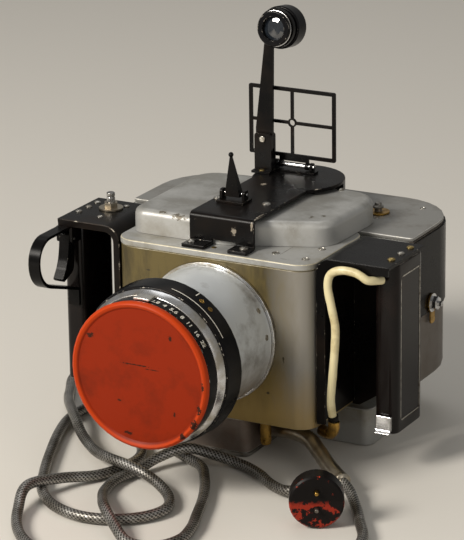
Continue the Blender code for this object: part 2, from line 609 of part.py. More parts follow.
def build_eyepiece():
    deck = BRACKET_TOP + GAP
    pivot = BRACKET_TOP + STALK_PIVOT
    at = (STALK_X, STALK_Y, pivot)
    width = 8.5
    post = front_prism(rectangle(-width, width, deck - pivot, 5, 2.5, 3), -4.5, 4.5)
    base = solid("stalk_base", post, "black enamel", at)
    combine(base, box(-width, width + 1, -11, 4.5, deck - pivot, deck - pivot + 2.2), "UNION")
    combine(base, box(-width - 3, width + 3, -1.8, 1.8, -12.5, 9), "DIFFERENCE")
    combine(base, disc(2.5, -10, 10, 12), "DIFFERENCE", turn=FORWARD)
    screw = turned([(0, -4.4), (2.2, -4.4), (2.2, 4.8), (3.2, 4.8), (2.8, 6.0), (0, 6.4)], 16)
    solid("stalk_screw", screw, "steel", at, FORWARD)
    bend = 9.0
    lean = math.tan(math.radians(STALK_LEAN))
    facing = (math.radians(90 - EYEPIECE_TILT), 0, 0)
    rise = STALK_LENGTH - bend
    head = (STALK_X + EYEPIECE_SHIFT, STALK_Y + rise * lean, pivot + STALK_LENGTH)
    seat = EYEPIECE_RADIUS - 5.4
    end = rise - seat - 1.2
    blade = front_prism([(-8.4, -0.4), (8.4, -0.4), (4.2, end), (-4.2, end + 3.7)], -1.5, 1.5)
    for corner in blade.verts:
        corner.co.y += corner.co.z * lean
        corner.co.z += bend
    arm = solid("stalk_arm", blade, "black enamel", at)
    lower = [(-8.2, -9), (8.2, -9), (8.4, bend), (-8.4, bend)]
    combine(arm, front_prism(lower, -1.5, 1.5), "UNION")
    combine(arm, ring(seat, EYEPIECE_RADIUS - 1.6, -2.0, 2.0, 36), "UNION", at=head, turn=facing)
    combine(arm, disc(2.5, -5, 5, 12), "DIFFERENCE", turn=FORWARD)
    front = 8.0
    back = front - EYEPIECE_LENGTH
    radius = EYEPIECE_RADIUS
    bore = seat - 3
    near = 2 + GAP
    tube = turned([(bore, back), (radius - 0.8, back), (radius, back + 0.8), (radius, -6.2), (radius - 1, -5),
                   (seat + 2, -5), (seat + 2, -near), (seat - GAP, -near), (seat - GAP, near),
                   (seat + 2, near), (seat + 2, front - 0.8), (seat + 1.2, front), (bore, front)], 36)
    solid("eyepiece_tube", tube, "black anodised", head, facing)
    inside = bore - GAP
    lens = turned([(0, -2), (inside, 0), (inside, 4), (inside * 0.6, 5.2), (0, 5.6)], 24)
    solid("eyepiece_lens", lens, "glass", head, facing)


def handle_sheet(side, width, inset=0.0):
    """Section of the bent handle plate: up the body side, over and outwards."""
    near = HALF_BODY + LID_LIP + GAP
    top = HANDLE_TOP
    low = BODY_TOP - 145 + inset
    end = HANDLE_REACH - (LEFT_SHORTER if side < 0 else 0) - inset
    bend = 15.0
    outer = fillet([(near + inset, low), (near + inset, top - inset), (end, top - inset)],
                   [0, bend - inset, 0], 5)
    inner = fillet([(near + width, low), (near + width, top - width), (end, top - width)],
                   [0, max(bend - width, 2), 0], 5)
    section = outer + inner[::-1]
    return [(side * x, z) for x, z in section]


def build_handles():
    back = HANDLE_FRONT + HANDLE_DEPTH
    near = HALF_BODY + LID_LIP + GAP
    for word, side in (("left", -1), ("right", 1)):
        sheet = front_prism(handle_sheet(side, HANDLE_SHEET), HANDLE_FRONT, back)
        frame = solid("handle_frame_" + word, sheet, "black enamel")
        edge = FLANGE_WIDTH if side > 0 else FLANGE_WIDTH - 2.5
        flange = front_prism(handle_sheet(side, edge, 0.5), HANDLE_FRONT - 0.4, HANDLE_FRONT + 2.2)
        combine(frame, flange, "UNION")
        web = [(side * (near + 1), BODY_TOP - 149), (side * (near + 8), BODY_TOP - 149),
               (side * (GRIP_CENTRE - GRIP_WIDTH / 2 - 2), BODY_TOP - 125),
               (side * (GRIP_CENTRE - GRIP_WIDTH / 2 - 2), HANDLE_TOP - 1), (side * (near + 14), HANDLE_TOP - 1),
               (side * (near + 1), HANDLE_TOP - 16)]
        combine(frame, front_prism(web, back - 3, back - 0.5), "UNION")
        if side < 0:
            combine(frame, disc(4.2, -9, 3, 16), "DIFFERENCE", at=BUTTON_AT)
        half = GRIP_WIDTH / 2
        front = HANDLE_FRONT + 16
        outline = rectangle(-half, half, front, front + GRIP_DEPTH, 7.5, 4)
        low = GRIP_BOTTOM
        grip = solid("grip_" + word, prism(outline, low - HANDLE_TOP, PLATE_UNDER - GAP - HANDLE_TOP),
                     "bakelite", at=(side * GRIP_CENTRE, 0, HANDLE_TOP))
        soften(grip, 2.0, 2, 60)
        panel = side_prism(rectangle(front + 9, front + GRIP_DEPTH - 6, low + 10 - HANDLE_TOP,
                                     PLATE_UNDER - 12 - HANDLE_TOP, 5, 3),
                           side * half - 0.8, side * half + 0.8)
        combine(grip, panel, "DIFFERENCE")


def build_grip_parts():
    front = HANDLE_FRONT + 16
    half = GRIP_WIDTH / 2
    tab = side_prism(fillet([(1.4, 1.4), (-1.6, 1.4), (-3.2, -10.6), (-5.6, -13.4), (-4.2, -14.6), (1.4, -10.6)],
                            [1, 1, 3, 0.5, 0.5, 1], 3), -6.8, 6.8)
    solid("grip_tab", tab, "steel", at=(GRIP_CENTRE + 0.5, front - 2, GRIP_BOTTOM + 16))
    x = -GRIP_CENTRE + 1
    pivot = (x, front - 12, HANDLE_TOP - 18)
    blade = fillet([(-4, 5), (5, 5), (5, -8), (4, -20), (2, -31), (-14, -37), (-17, -34.5), (-11, -26),
                    (-7.5, -18), (-5.5, -8)], [2, 2, 0, 0, 7, 1.2, 1.2, 14, 20, 0], 3)
    trigger = solid("trigger", side_prism(blade, -5, 5), "black enamel", pivot)
    combine(trigger, disc(1.75, -20, 20, 12), "DIFFERENCE", turn=SIDEWAYS)
    pin = disc(1.4, -8.2, 8.2, 12)
    solid("trigger_pin", pin, "steel", pivot, SIDEWAYS)
    low = GRIP_BOTTOM + 86
    rise = 22.0
    high = HANDLE_TOP - FLANGE_WIDTH + 2.5 - GAP
    reach = front - 68
    sheet = 2.6
    outer = fillet([(front - GAP, high), (reach, high), (reach, low + rise), (front - GAP, low)],
                   [0, 21, 26, 0], 7)
    inner = fillet([(front - GAP, high - sheet), (reach + sheet, high - sheet),
                    (reach + sheet, low + rise + sheet), (front - GAP, low + sheet)], [0, 18.4, 24, 0], 7)
    guard = solid("trigger_guard", side_prism(outer + inner[::-1], x - 5.5, x + 5.5), "black enamel")
    strap = box(x - 5.5, x + 5.5, front - GAP - sheet, front - GAP, low - 14, low + 1)
    combine(guard, strap, "UNION")
    lug = fillet([(pivot[1] - 4, pivot[2] - 4), (front - GAP, pivot[2] - 4), (front - GAP, high - 1),
                  (pivot[1] - 4, high - 1)], [2.5, 0, 0, 0], 3)
    for edge in (-8, 5.4):
        combine(guard, side_prism(lug, x + edge, x + edge + 2.6), "UNION")
    combine(guard, disc(1.75, -20, 20, 12), "DIFFERENCE", at=pivot, turn=SIDEWAYS)
    stub_at = (BUTTON_AT[0], BUTTON_AT[1], BUTTON_AT[2] + GAP)
    nut = turned([(4.1, 0), (11, 0), (11, 1.4), (7.4, 1.5), (7.4, 5.4), (6.6, 6), (4.1, 6)], 18)
    button_nut = solid("button_nut", nut, "nickel tube", stub_at)
    hexagon = turned([(7.6, 1.6), (12, 1.6), (12, 8), (7.6, 8)], 6)
    bmesh.ops.scale(hexagon, vec=(0.86, 0.86, 1), verts=hexagon.verts)
    combine(button_nut, hexagon, "DIFFERENCE")
    button = turned([(0, -6), (3.8, -6), (3.8, 10.2), (3.2, 11.2), (3.8, 11.8), (3.8, 14.6), (3.2, 15.2),
                     (0, 15.2)], 16)
    solid("release_button", button, "chrome", stub_at)


def build_wiring():
    half = PEDESTAL_WIDTH / 2
    start = Vector((half + 2, BODY_FRONT + 28, 20))
    stops = [start, Vector((half + 16, BODY_FRONT + 26, 22)), Vector((86, -36, 25)), Vector((104, -50, 21)),
             Vector((125, -70, 17)), Vector((146, -87, 13))]
    route = smooth_route(stops, 10)
    solid("conduit", pipe(route, CONDUIT_RADIUS, CONDUIT_RADIUS - 1.4, 12), "nickel tube")
    front = HANDLE_FRONT + 16
    y = HANDLE_FRONT - 0.4 - GAP - SLEEVE_RADIUS - 0.1
    high = HANDLE_TOP - 7
    under = HANDLE_TOP - FLANGE_WIDTH - GAP - SLEEVE_RADIUS - 0.6
    near = HALF_BODY + LID_LIP + GAP + FLANGE_WIDTH + SLEEVE_RADIUS + GAP + 0.5
    sleeve = [(GRIP_CENTRE - 0.5, front - 1 - SLEEVE_RADIUS, under - 3), (GRIP_CENTRE - 3.5, y + 7, under - 1.4),
              (GRIP_CENTRE - 7.5, y + 1.6, under), (GRIP_CENTRE - 12.5, y, under + 3.4), (135, y, high),
              (near + 13, y, high), (near + 4, y, high - 4.5), (near + 1, y, high - 14),
              (near + 5, y, high - 36), (near + 8, y, high - 51), (near + 7.5, y, high - 71),
              (near + 5.5, y, high - 95), (near + 3, y + 1.5, high - 121), (near + 2.5, y + 7, 44.5)]
    sleeve = [Vector(stop) for stop in sleeve]
    lead("cream_sleeve", smooth_route(sleeve, 22), SLEEVE_RADIUS, "cream sleeve")
    foot = sleeve[-1] - Vector((0, 0, 0.6))
    bend = [foot, foot + Vector((-0.3, 0.5, -6.5)), foot + Vector((-4, 3, -12.5)),
            foot + Vector((-11, 7, -14.3)), foot + Vector((-17, 11, -14.4))]
    solid("sleeve_elbow", pipe(smooth_route(bend, 7), 5.2, 4.0, 12), "brass")


def cord_stops():
    """Where the braided power cord lies, from the conduit round to the plug."""
    r = CORD_RADIUS + GAP
    up = 3 * CORD_RADIUS + 0.6
    half = (r + up) / 2
    stops = [(146.3, -87.3, 12.8), (157, -96, 10), (172, -115, 6), (189, -142, r), (206, -172, r),
             (211, -210, r), (182, -258, r), (120, -294, r), (50, -314, r), (-8, -314, r), (-36, -300, r),
             (-58, -278, r), (-75, -250, 7), (-86, -218, up), (-76, -180, half), (-58, -150, r),
             (-47, -124, r), (-46, -98, r), (-58, -74, r), (-84, -50, r), (-106, -26, r), (-120, -2, r),
             (-134, 8, r), (-147, 0, r), (-151, -20, r), (-150, -45, r), (-141, -76, r), (-122, -122, r),
             (-102, -165, r), (-82, -200, r), (-56, -224, r), (-24, -234, r), (4, -228, r), (24, -212, r),
             (32, -190, r), (22, -166, r), (0, -150, half), (-28, -141, up), (-56, -132, up), (-82, -112, half),
             (-112, -84, half), (-134, -60, up), (-152, -38, up), (-170, -12, half), (-188, 20, r),
             (-203, 52, r), (-202, 84, r), (-180, 108, r), (-152, 102, r), (-135, 76, r), (-130, 46, r),
             (-121, 18, r), (-96, 7, r), (-70, 4, r), (-50, -10, r), (-43, -38, r), (-32, -64, r),
             (-10, -79, r), (12, -92, r), (30, -118, r), (47, -151, r), (62, -190, r), (71, -216, r),
             (74, -242, r), (62, -263, r), (38, -263, r), (17, -248, half), (-4, -228, up), (-20, -204, half),
             (-34, -178, r), (-38, -152, r), (-33, -126, r), (-25, -102, half), (-8, -82, up), (14, -74, half),
             (42, -73, r), (66, -86, r), (86, -102, r), (106, -113, 7), (124, -115, 13), (138, -121, 20),
             (144.2, -132.6, PLUG_RADIUS + 0.4)]
    return [Vector(stop) for stop in stops]


def build_cord():
    points = smooth_route(cord_stops(), 80)
    lead("power_cord", points, CORD_RADIUS, "metal braid")
    end = points[-1]
    heading = Vector((0.46, -0.89, 0)).normalized()
    facing = heading.to_track_quat("Z", "Y").to_euler()
    lean = heading.angle(points[-1] - points[-2])
    at = end + heading * (GAP + CORD_RADIUS * math.sin(lean))
    throat = 9
    face = throat + PLUG_LENGTH
    shape = turned([(0, 0), (CORD_RADIUS + 2.5, 0), (CORD_RADIUS + 4, throat), (PLUG_RADIUS - 3, throat),
                    (PLUG_RADIUS, throat + 3), (PLUG_RADIUS, face - 1.5), (PLUG_RADIUS - 1.5, face),
                    (0, face)], 32)
    plug = solid("plug_body", shape, "bakelite", at, facing)
    for name, finish, offset in (("plug_pin_upper", "brass", 9.0), ("plug_pin_lower", "steel", -6.0)):
        place = at + Vector((0, 0, offset))
        combine(plug, disc(2.4, face - 8, face + 2, 12), "DIFFERENCE", at=place, turn=facing)
        pin = turned([(0, face - 7.5), (2.1, face - 7.5), (2.1, face + 3), (1.4, face + 4.2), (0, face + 4.4)], 12)
        solid(name, pin, finish, place, facing)


clear_scene()
build_body()
build_base()
build_lens()
build_cap()
build_magazine()
build_cover()
build_bracket()
build_sight()
build_frame_finder()
build_eyepiece()
build_handles()
build_grip_parts()
build_wiring()
build_cord()
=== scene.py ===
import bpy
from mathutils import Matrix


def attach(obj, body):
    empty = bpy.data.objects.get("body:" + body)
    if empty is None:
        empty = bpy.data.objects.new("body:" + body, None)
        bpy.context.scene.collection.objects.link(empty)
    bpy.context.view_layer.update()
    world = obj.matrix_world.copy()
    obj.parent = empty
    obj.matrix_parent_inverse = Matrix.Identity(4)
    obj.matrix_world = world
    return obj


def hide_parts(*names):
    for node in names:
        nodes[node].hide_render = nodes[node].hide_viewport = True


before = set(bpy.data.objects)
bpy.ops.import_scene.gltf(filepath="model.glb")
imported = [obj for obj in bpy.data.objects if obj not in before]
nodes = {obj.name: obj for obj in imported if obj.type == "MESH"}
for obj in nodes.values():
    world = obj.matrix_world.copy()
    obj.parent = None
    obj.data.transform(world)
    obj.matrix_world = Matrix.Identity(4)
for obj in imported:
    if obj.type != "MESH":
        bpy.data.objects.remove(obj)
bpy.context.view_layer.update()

import math
import random

import bpy
from mathutils import Matrix, Quaternion, Vector

mm = 0.001
lensHeight = 0.1125  # the lens axis above the floor
bpy.ops.object.select_all(action="DESELECT")
print("frame loaded")


def hexColour(code):
    # sRGB hex to linear colour
    channels = [int(code[i:i + 2], 16) / 255 for i in (1, 3, 5)]
    return [c / 12.92 if c <= 0.04045 else ((c + 0.055) / 1.055) ** 2.4 for c in channels] + [1.0]


def connect(tree, node, **inputs):
    # i6 is the input numbered 6, To_Max the one named To Max; a socket is linked, anything else is set
    for key, value in inputs.items():
        socket = node.inputs[int(key[1:]) if key[1:].isdigit() else key.replace("_", " ")]
        if isinstance(value, bpy.types.NodeSocket):
            tree.links.new(value, socket)
        else:
            socket.default_value = value


def addNode(tree, kind, settings=None, **inputs):
    node = tree.nodes.new("ShaderNode" + kind)
    for key, value in (settings or {}).items():
        setattr(node, key, value)
    connect(tree, node, **inputs)
    return node


def noiseOf(tree, place, scale, detail, roughness=0.5):
    noise = addNode(tree, "TexNoise", Vector=place, Scale=scale, Detail=detail, Roughness=roughness)
    return noise.outputs["Fac"]


def rangeOf(tree, value, low, high, first=0.0, last=1.0):
    # the stretch from low to high becomes first to last, and holds beyond
    spread = addNode(tree, "MapRange", Value=value, From_Min=low, From_Max=high, To_Min=first, To_Max=last)
    return spread.outputs[0]


def mathOf(tree, operation, first, second, third=0.0):
    return addNode(tree, "Math", {"operation": operation}, i0=first, i1=second, i2=third).outputs[0]


def lengthOf(tree, vector):
    return addNode(tree, "VectorMath", {"operation": "LENGTH"}, i0=vector).outputs["Value"]


def mixOf(tree, share, first, second, blend="MIX"):
    settings = {"data_type": "RGBA", "blend_type": blend}
    return addNode(tree, "Mix", settings, i0=share, i6=first, i7=second).outputs[2]


def bumpOf(tree, height, strength, distance):
    return addNode(tree, "Bump", Strength=strength, Distance=distance, Height=height).outputs[0]


def rampOf(tree, share, *stops):
    ramp = addNode(tree, "ValToRGB", Fac=share)
    for element, (position, colour) in zip(ramp.color_ramp.elements, stops):
        element.position = position
        element.color = hexColour(colour)
    return ramp.outputs[0]


def newMaterial(name):
    material = bpy.data.materials.new(name)
    material.use_nodes = True
    tree = material.node_tree
    place = addNode(tree, "TexCoord").outputs["Object"]
    return material, tree, tree.nodes["Principled BSDF"], place


# camera: a long lens from the front right, a little above the lid
cameraView = {"azimuth": 28.6, "elevation": 18.1, "roll": -0.8, "distance": 2.6654,
              "target": (-0.005, 0.0, 0.1538), "lens": 202.8}


def placeCamera(view):
    turn, lift = math.radians(view["azimuth"]), math.radians(view["elevation"])
    back = Vector((math.sin(turn) * math.cos(lift), -math.cos(turn) * math.cos(lift), math.sin(lift)))
    data = bpy.data.cameras.new("camera")
    data.lens = view["lens"]
    camera = bpy.data.objects.new("camera", data)
    camera.location = Vector(view["target"]) + back * view["distance"]
    camera.rotation_mode = "QUATERNION"
    upright = (-back).to_track_quat("-Z", "Y")
    camera.rotation_quaternion = Quaternion(back, math.radians(view["roll"])) @ upright
    bpy.context.scene.collection.objects.link(camera)
    bpy.context.scene.camera = camera


placeCamera(cameraView)
print("camera placed")


# braided power cord: a woven wire sleeve, laid where the solid model lays it
cordLook = {"radius": 4.75, "gap": 0.3, "crossing": 0.6, "rings": 2440, "sides": 32, "strands": 8,
            "weaveDepth": 0.42, "under": 0.45, "plugRadius": 23.0, "plugGap": 0.4}


def cordStops():
    r = cordLook["radius"] + cordLook["gap"]  # lying on the floor
    up = 3 * cordLook["radius"] + cordLook["crossing"]  # over another stretch of itself
    half = (r + up) / 2  # on the way up or down
    return [(146.3, -87.3, 12.8), (157, -96, 10), (172, -115, 6), (189, -142, r), (206, -172, r),
            (211, -210, r), (182, -258, r), (120, -294, r), (50, -314, r), (-8, -314, r), (-36, -300, r),
            (-58, -278, r), (-75, -250, 7), (-86, -218, up), (-76, -180, half), (-58, -150, r),
            (-47, -124, r), (-46, -98, r), (-58, -74, r), (-84, -50, r), (-106, -26, r), (-120, -2, r),
            (-134, 8, r), (-147, 0, r), (-151, -20, r), (-150, -45, r), (-141, -76, r), (-122, -122, r),
            (-102, -165, r), (-82, -200, r), (-56, -224, r), (-24, -234, r), (4, -228, r), (24, -212, r),
            (32, -190, r), (22, -166, r), (0, -150, half), (-28, -141, up), (-56, -132, up),
            (-82, -112, half), (-112, -84, half), (-134, -60, up), (-152, -38, up), (-170, -12, half),
            (-188, 20, r), (-203, 52, r), (-202, 84, r), (-180, 108, r), (-152, 102, r), (-135, 76, r),
            (-130, 46, r), (-121, 18, r), (-96, 7, r), (-70, 4, r), (-50, -10, r), (-43, -38, r),
            (-32, -64, r), (-10, -79, r), (12, -92, r), (30, -118, r), (47, -151, r), (62, -190, r),
            (71, -216, r), (74, -242, r), (62, -263, r), (38, -263, r), (17, -248, half), (-4, -228, up),
            (-20, -204, half), (-34, -178, r), (-38, -152, r), (-33, -126, r), (-25, -102, half),
            (-8, -82, up), (14, -74, half), (42, -73, r), (66, -86, r), (86, -102, r), (106, -113, 7),
            (124, -115, 13), (138, -121, 20), (144.2, -132.6, cordLook["plugRadius"] + cordLook["plugGap"])]


def smoothRoute(stops, count):
    # even points in metres along a centripetal curve through the stops, and the length of the curve
    finer = 24  # points between two stops
    path = [Vector(stop) for stop in stops]
    path = [path[0] * 2 - path[1]] + path + [path[-1] * 2 - path[-2]]
    fine = []
    for p0, p1, p2, p3 in zip(path, path[1:], path[2:], path[3:]):
        t1 = (p1 - p0).length ** 0.5
        t2 = t1 + (p2 - p1).length ** 0.5
        t3 = t2 + (p3 - p2).length ** 0.5
        for step in range(finer):
            t = t1 + (t2 - t1) * step / finer
            a1 = p0 * ((t1 - t) / t1) + p1 * (t / t1)
            a2 = p1 * ((t2 - t) / (t2 - t1)) + p2 * ((t - t1) / (t2 - t1))
            a3 = p2 * ((t3 - t) / (t3 - t2)) + p3 * ((t - t2) / (t3 - t2))
            b1 = a1 * ((t2 - t) / t2) + a2 * (t / t2)
            b2 = a2 * ((t3 - t) / (t3 - t1)) + a3 * ((t - t1) / (t3 - t1))
            fine.append(b1 * ((t2 - t) / (t2 - t1)) + b2 * ((t - t1) / (t2 - t1)))
    fine.append(path[-2])
    lengths = [0.0]
    for here, following in zip(fine, fine[1:]):
        lengths.append(lengths[-1] + (following - here).length)
    even = []
    index = 0
    for step in range(count):
        wanted = lengths[-1] * step / (count - 1)
        while index < len(fine) - 2 and lengths[index + 1] < wanted:
            index += 1
        share = (wanted - lengths[index]) / (lengths[index + 1] - lengths[index])
        even.append(fine[index].lerp(fine[index + 1], share) * mm)
    return even, lengths[-1] * mm


def tubeMesh(name, points, radiusAt, sides, material):
    # closed round tube along points in metres; radiusAt(angle, travelled) gives radius and a 0 to 1 height
    vertices, faces, heights = [], [], []
    side = None
    travelled = 0.0
    for index, point in enumerate(points):
        before, after = points[max(index - 1, 0)], points[min(index + 1, len(points) - 1)]
        if index:
            travelled += (point - points[index - 1]).length
        along = (after - before).normalized()
        side = along.orthogonal() if side is None else side - along * side.dot(along)
        side.normalize()
        other = along.cross(side)
        for step in range(sides):
            angle = math.tau * step / sides
            radius, height = radiusAt(angle, travelled)
            vertices.append(point + (side * math.cos(angle) + other * math.sin(angle)) * radius)
            heights.append(height)
    for ring in range(len(points) - 1):
        low = ring * sides
        for step in range(sides):
            following = (step + 1) % sides
            faces.append((low + step, low + following, low + sides + following, low + sides + step))
    last = (len(points) - 1) * sides
    faces.append(tuple(reversed(range(sides))))
    faces.append(tuple(range(last, last + sides)))
    mesh = bpy.data.meshes.new(name)
    mesh.from_pydata(vertices, [], faces)
    mesh.shade_smooth()
    mesh.materials.append(material)
    mesh.attributes.new("strandHeight", "FLOAT", "POINT").data.foreach_set("value", heights)
    tube = bpy.data.objects.new(name, mesh)
    bpy.context.scene.collection.objects.link(tube)
    return tube


def braidRadius(angle, travelled):
    # two opposite sets of wire bands that pass over and under each other
    turns = cordLook["strands"] * angle
    slide = travelled * cordLook["strands"] / (cordLook["radius"] * mm)
    first = 0.5 + 0.5 * math.cos(turns + slide)
    second = 0.5 + 0.5 * math.cos(turns - slide)
    over = 0.5 + 0.5 * math.cos(turns) * math.cos(slide)
    height = max(first * (1 - cordLook["under"] * (1 - over)), second * (1 - cordLook["under"] * over))
    return (cordLook["radius"] - cordLook["weaveDepth"] * (1 - height)) * mm, height


braidFinish = {"hollowShadeColour": "#3a3733", "wireColour": "#cfcdc8", "soilColour": "#8d8578", "soil": 0.75,
               "soilScale": 38.0, "wireScale": 900.0, "roughness": (0.25, 0.6), "metallic": 0.85,
               "bump": 0.35,
               "bumpDepth": 0.0002}


def tinnedBraid(look):
    # tinned copper braid: bright grey bands, with painted shade darkening the gaps between them and the wires
    # that pass under, dulled by handling
    material, tree, shader, place = newMaterial("tinnedCopperBraid")
    height = addNode(tree, "Attribute", {"attribute_name": "strandHeight"}).outputs["Fac"]
    soil = noiseOf(tree, place, look["soilScale"], 4.0)
    fine = noiseOf(tree, place, look["wireScale"], 2.0)
    # painted shade: the lower the weave's surface lies, the darker its colour
    lit = rampOf(tree, height, (0.35, look["hollowShadeColour"]), (0.85, look["wireColour"]))
    shade = rampOf(tree, soil, (0.35, look["soilColour"]), (0.62, "#ffffff"))
    connect(tree, shader, Base_Color=mixOf(tree, look["soil"], lit, shade, "MULTIPLY"),
            Roughness=rangeOf(tree, fine, 0.0, 1.0, *look["roughness"]), Metallic=look["metallic"],
            Normal=bumpOf(tree, fine, look["bump"], look["bumpDepth"]))
    return material


# what every paint film shares unless its own look says otherwise
filmLook = {"streak": (1, 1, 1), "stainSoft": 0.2, "fades": [], "wander": 0.03, "chipEdge": 0.02, "spots": [],
            "crumbScale": 420.0, "crumbReach": 3.2, "spotEdge": (2.35, 2.25), "metallic": 0.0,
            "specular": 0.5,
            "glossFrom": 0.3, "glossTo": 0.7, "bump": 0.25, "bumpDepth": 0.00015, "chipDepth": 1.5}


def coating(name, changes):
    # a paint film on metal: broad stains, fades from place to place, and chips that show what is under it
    look = {**filmLook, **changes}
    material, tree, shader, place = newMaterial(name)
    stretched = addNode(tree, "Mapping", Vector=place, Scale=look["streak"]).outputs[0]
    broad = noiseOf(tree, stretched, 1000 / look["stainSize"], 6.0, 0.65)
    stained = rangeOf(tree, broad, look["stainFrom"], look["stainFrom"] + look["stainSoft"])
    colour = mixOf(tree, stained, hexColour(look["colour"]), hexColour(look["stain"]))
    for fade in look["fades"]:
        if fade["axis"] == "ring":  # distance from the lens axis
            flat = addNode(tree, "Mapping", Vector=place, Location=(0, 0, -lensHeight), Scale=(1, 0, 1))
            measure = lengthOf(tree, flat.outputs[0])
        else:
            measure = addNode(tree, "SeparateXYZ", Vector=place).outputs["XYZ".index(fade["axis"])]
        wandering = mathOf(tree, "MULTIPLY_ADD", broad, fade.get("wander", look["wander"]), measure)
        share = rangeOf(tree, wandering, fade["start"], fade["end"], 0.0, fade.get("most", 1.0))
        colour = mixOf(tree, share, colour, hexColour(fade["colour"]))
    ragged = noiseOf(tree, place, 1000 / look["chipSize"], 8.0, 0.7)
    chips = rangeOf(tree, ragged, look["chipFrom"], look["chipFrom"] + look["chipEdge"])
    crumbs = noiseOf(tree, place, look["crumbScale"], 6.0, 0.7)
    for centre, size in look["spots"]:  # torn patches, each with its centre and half sizes in mm
        scale = [1 / (value * mm) for value in size]
        shift = [-where * mm * factor for where, factor in zip(centre, scale)]
        local = addNode(tree, "Mapping", Vector=place, Location=shift, Scale=scale).outputs[0]
        torn = mathOf(tree, "MULTIPLY_ADD", crumbs, look["crumbReach"], lengthOf(tree, local))
        chips = mathOf(tree, "MAXIMUM", chips, rangeOf(tree, torn, *look["spotEdge"]))
    colour = mixOf(tree, chips, colour, hexColour(look["chip"]))
    grain = noiseOf(tree, place, 1000 / look["grainSize"], 3.0)
    gloss = rangeOf(tree, broad, look["glossFrom"], look["glossTo"], *look["roughness"])
    depth = mathOf(tree, "MULTIPLY_ADD", chips, -look["chipDepth"], grain)
    connect(tree, shader, Base_Color=colour, Roughness=gloss, Metallic=look["metallic"],
            Specular_IOR_Level=look["specular"], Normal=bumpOf(tree, depth, look["bump"], look["bumpDepth"]))
    return material


silverLook = {"colour": "#a2a29f", "stain": "#8a867a", "stainSize": 45.0, "stainFrom": 0.48,
              "chip": "#5c564c", "chipSize": 5.0, "chipFrom": 0.735, "grainSize": 0.9,
              "roughness": (0.34, 0.52), "metallic": 0.35, "bump": 0.3}
# the brown stain of the black films is a painted reflection of brown wood in their gloss
blackLook = {"colour": "#0b0a0a", "stain": "#1a130e", "stainSize": 60.0, "stainFrom": 0.5, "chip": "#8f8678",
             "chipSize": 5.0, "chipFrom": 0.725, "grainSize": 1.6, "roughness": (0.2, 0.36), "bump": 0.12,
             "specular": 0.12}

# aluminium-flake lacquer, a soft grey glitter; the magazine lid's is a darker grey and the gear cover's
# darkens over its top, while the dark brown under the barrel and on the magazine's right side is painted
# shade with a painted reflection of a brown table
silverLacquer = coating("hammeredSilverLacquer", silverLook)
lidLacquer = coating("silverLacquerLid", {**silverLook, "colour": "#a8a8a5", "spots": [
    ((57.7, -16.0, 185.0), (0.5, 15.0, 2.0)), ((66.0, -38.0, 185.0), (5.0, 0.6, 2.0)),
    ((30.0, -44.0, 185.0), (7.0, 1.4, 2.0))]})
duskyLacquer = coating("silverLacquerDarkerGrey", {**silverLook, "colour": "#8d8c88", "stain": "#75716a"})
# the magazine's right side, past x 134.5 mm, fades to dark brown: painted shade and a painted reflection of a
# brown table
magazineLacquerPaintedShade = coating("silverLacquerMagazinePaintedShade", {**silverLook, "fades": [
    {"axis": "X", "start": 0.1345, "end": 0.1385, "colour": "#554a40", "wander": 0.002, "most": 0.85}]})
coverLacquer = coating("silverLacquerCover", {
    **silverLook, "colour": "#b3b3b0", "stain": "#9a968d", "chip": "#5f584b", "chipFrom": 0.71,
    "fades": [{"axis": "Z", "start": 0.216, "end": 0.224, "colour": "#7f7e79", "most": 0.7}],
    "spots": [((-92, -8, 200), (5, 6, 6)), ((-43, -25, 204), (9, 4, 3)), ((60, -10, 201), (8, 6, 3)),
              ((65, 17, 207), (2, 4, 3)), ((73, 24.5, 207), (3, 3, 3)), ((-60, -24, 207), (7, 3, 2))]})
# from just above the lens axis downwards the barrel fades to dark brown, and the pedestal housing with it:
# painted shade and a painted reflection of a brown table
barrelLacquerPaintedShadeBelow = coating("silverLacquerBarrelPaintedShadeBelow", {
    **silverLook, "colour": "#d0d4d6", "stain": "#8e8c88", "chip": "#d8d6cf", "chipSize": 8.0,
    "fades": [{"axis": "Z", "start": 0.122, "end": 0.068, "colour": "#5d4732", "wander": 0.02,
               "most": 0.85}]})

# the same lacquer rubbed through to bright metal or cream primer along the edges
wornSilver = coating("rubbedSilverLacquer", {
    **silverLook, "colour": "#c9c8c4", "stain": "#8d8677", "stainSize": 12.0, "stainFrom": 0.5,
    "chip": "#e6e2d6", "chipFrom": 0.56, "chipSize": 6.0})
creamEdge = coating("rubbedLidEdge", {
    **silverLook, "colour": "#cfc7ad", "stain": "#a39a82", "chip": "#e8e0c8", "chipFrom": 0.6,
    "chipSize": 8.0})

# lacquer yellowed to olive and ochre by handling, greyer on the right and lighter below the lens
patina = coating("yellowedSilverLacquer", {
    **silverLook, "colour": "#62552f", "stain": "#423920", "stainSize": 32.0, "stainFrom": 0.46,
    "streak": (1.6, 1.6, 0.45), "metallic": 0.2, "chip": "#3a3220", "chipFrom": 0.725, "chipSize": 5.0,
    "fades": [{"axis": "X", "start": 0.070, "end": 0.100, "colour": "#908c84"},
              {"axis": "Z", "start": 0.105, "end": 0.060, "colour": "#a88c4c", "most": 0.7}],
    "spots": [((54.7, -48, 64.8), (2, 3, 2)), ((70, -48, 98), (1, 3, 5)), ((-62, -48, 160), (3, 3, 1))]})
wornPatina = coating("rubbedPatinaEdge", {
    **silverLook, "colour": "#7d735a", "stain": "#b7b2a4", "stainSize": 14.0, "stainFrom": 0.5,
    "chip": "#d4cfc0", "chipFrom": 0.66, "chipSize": 6.0})

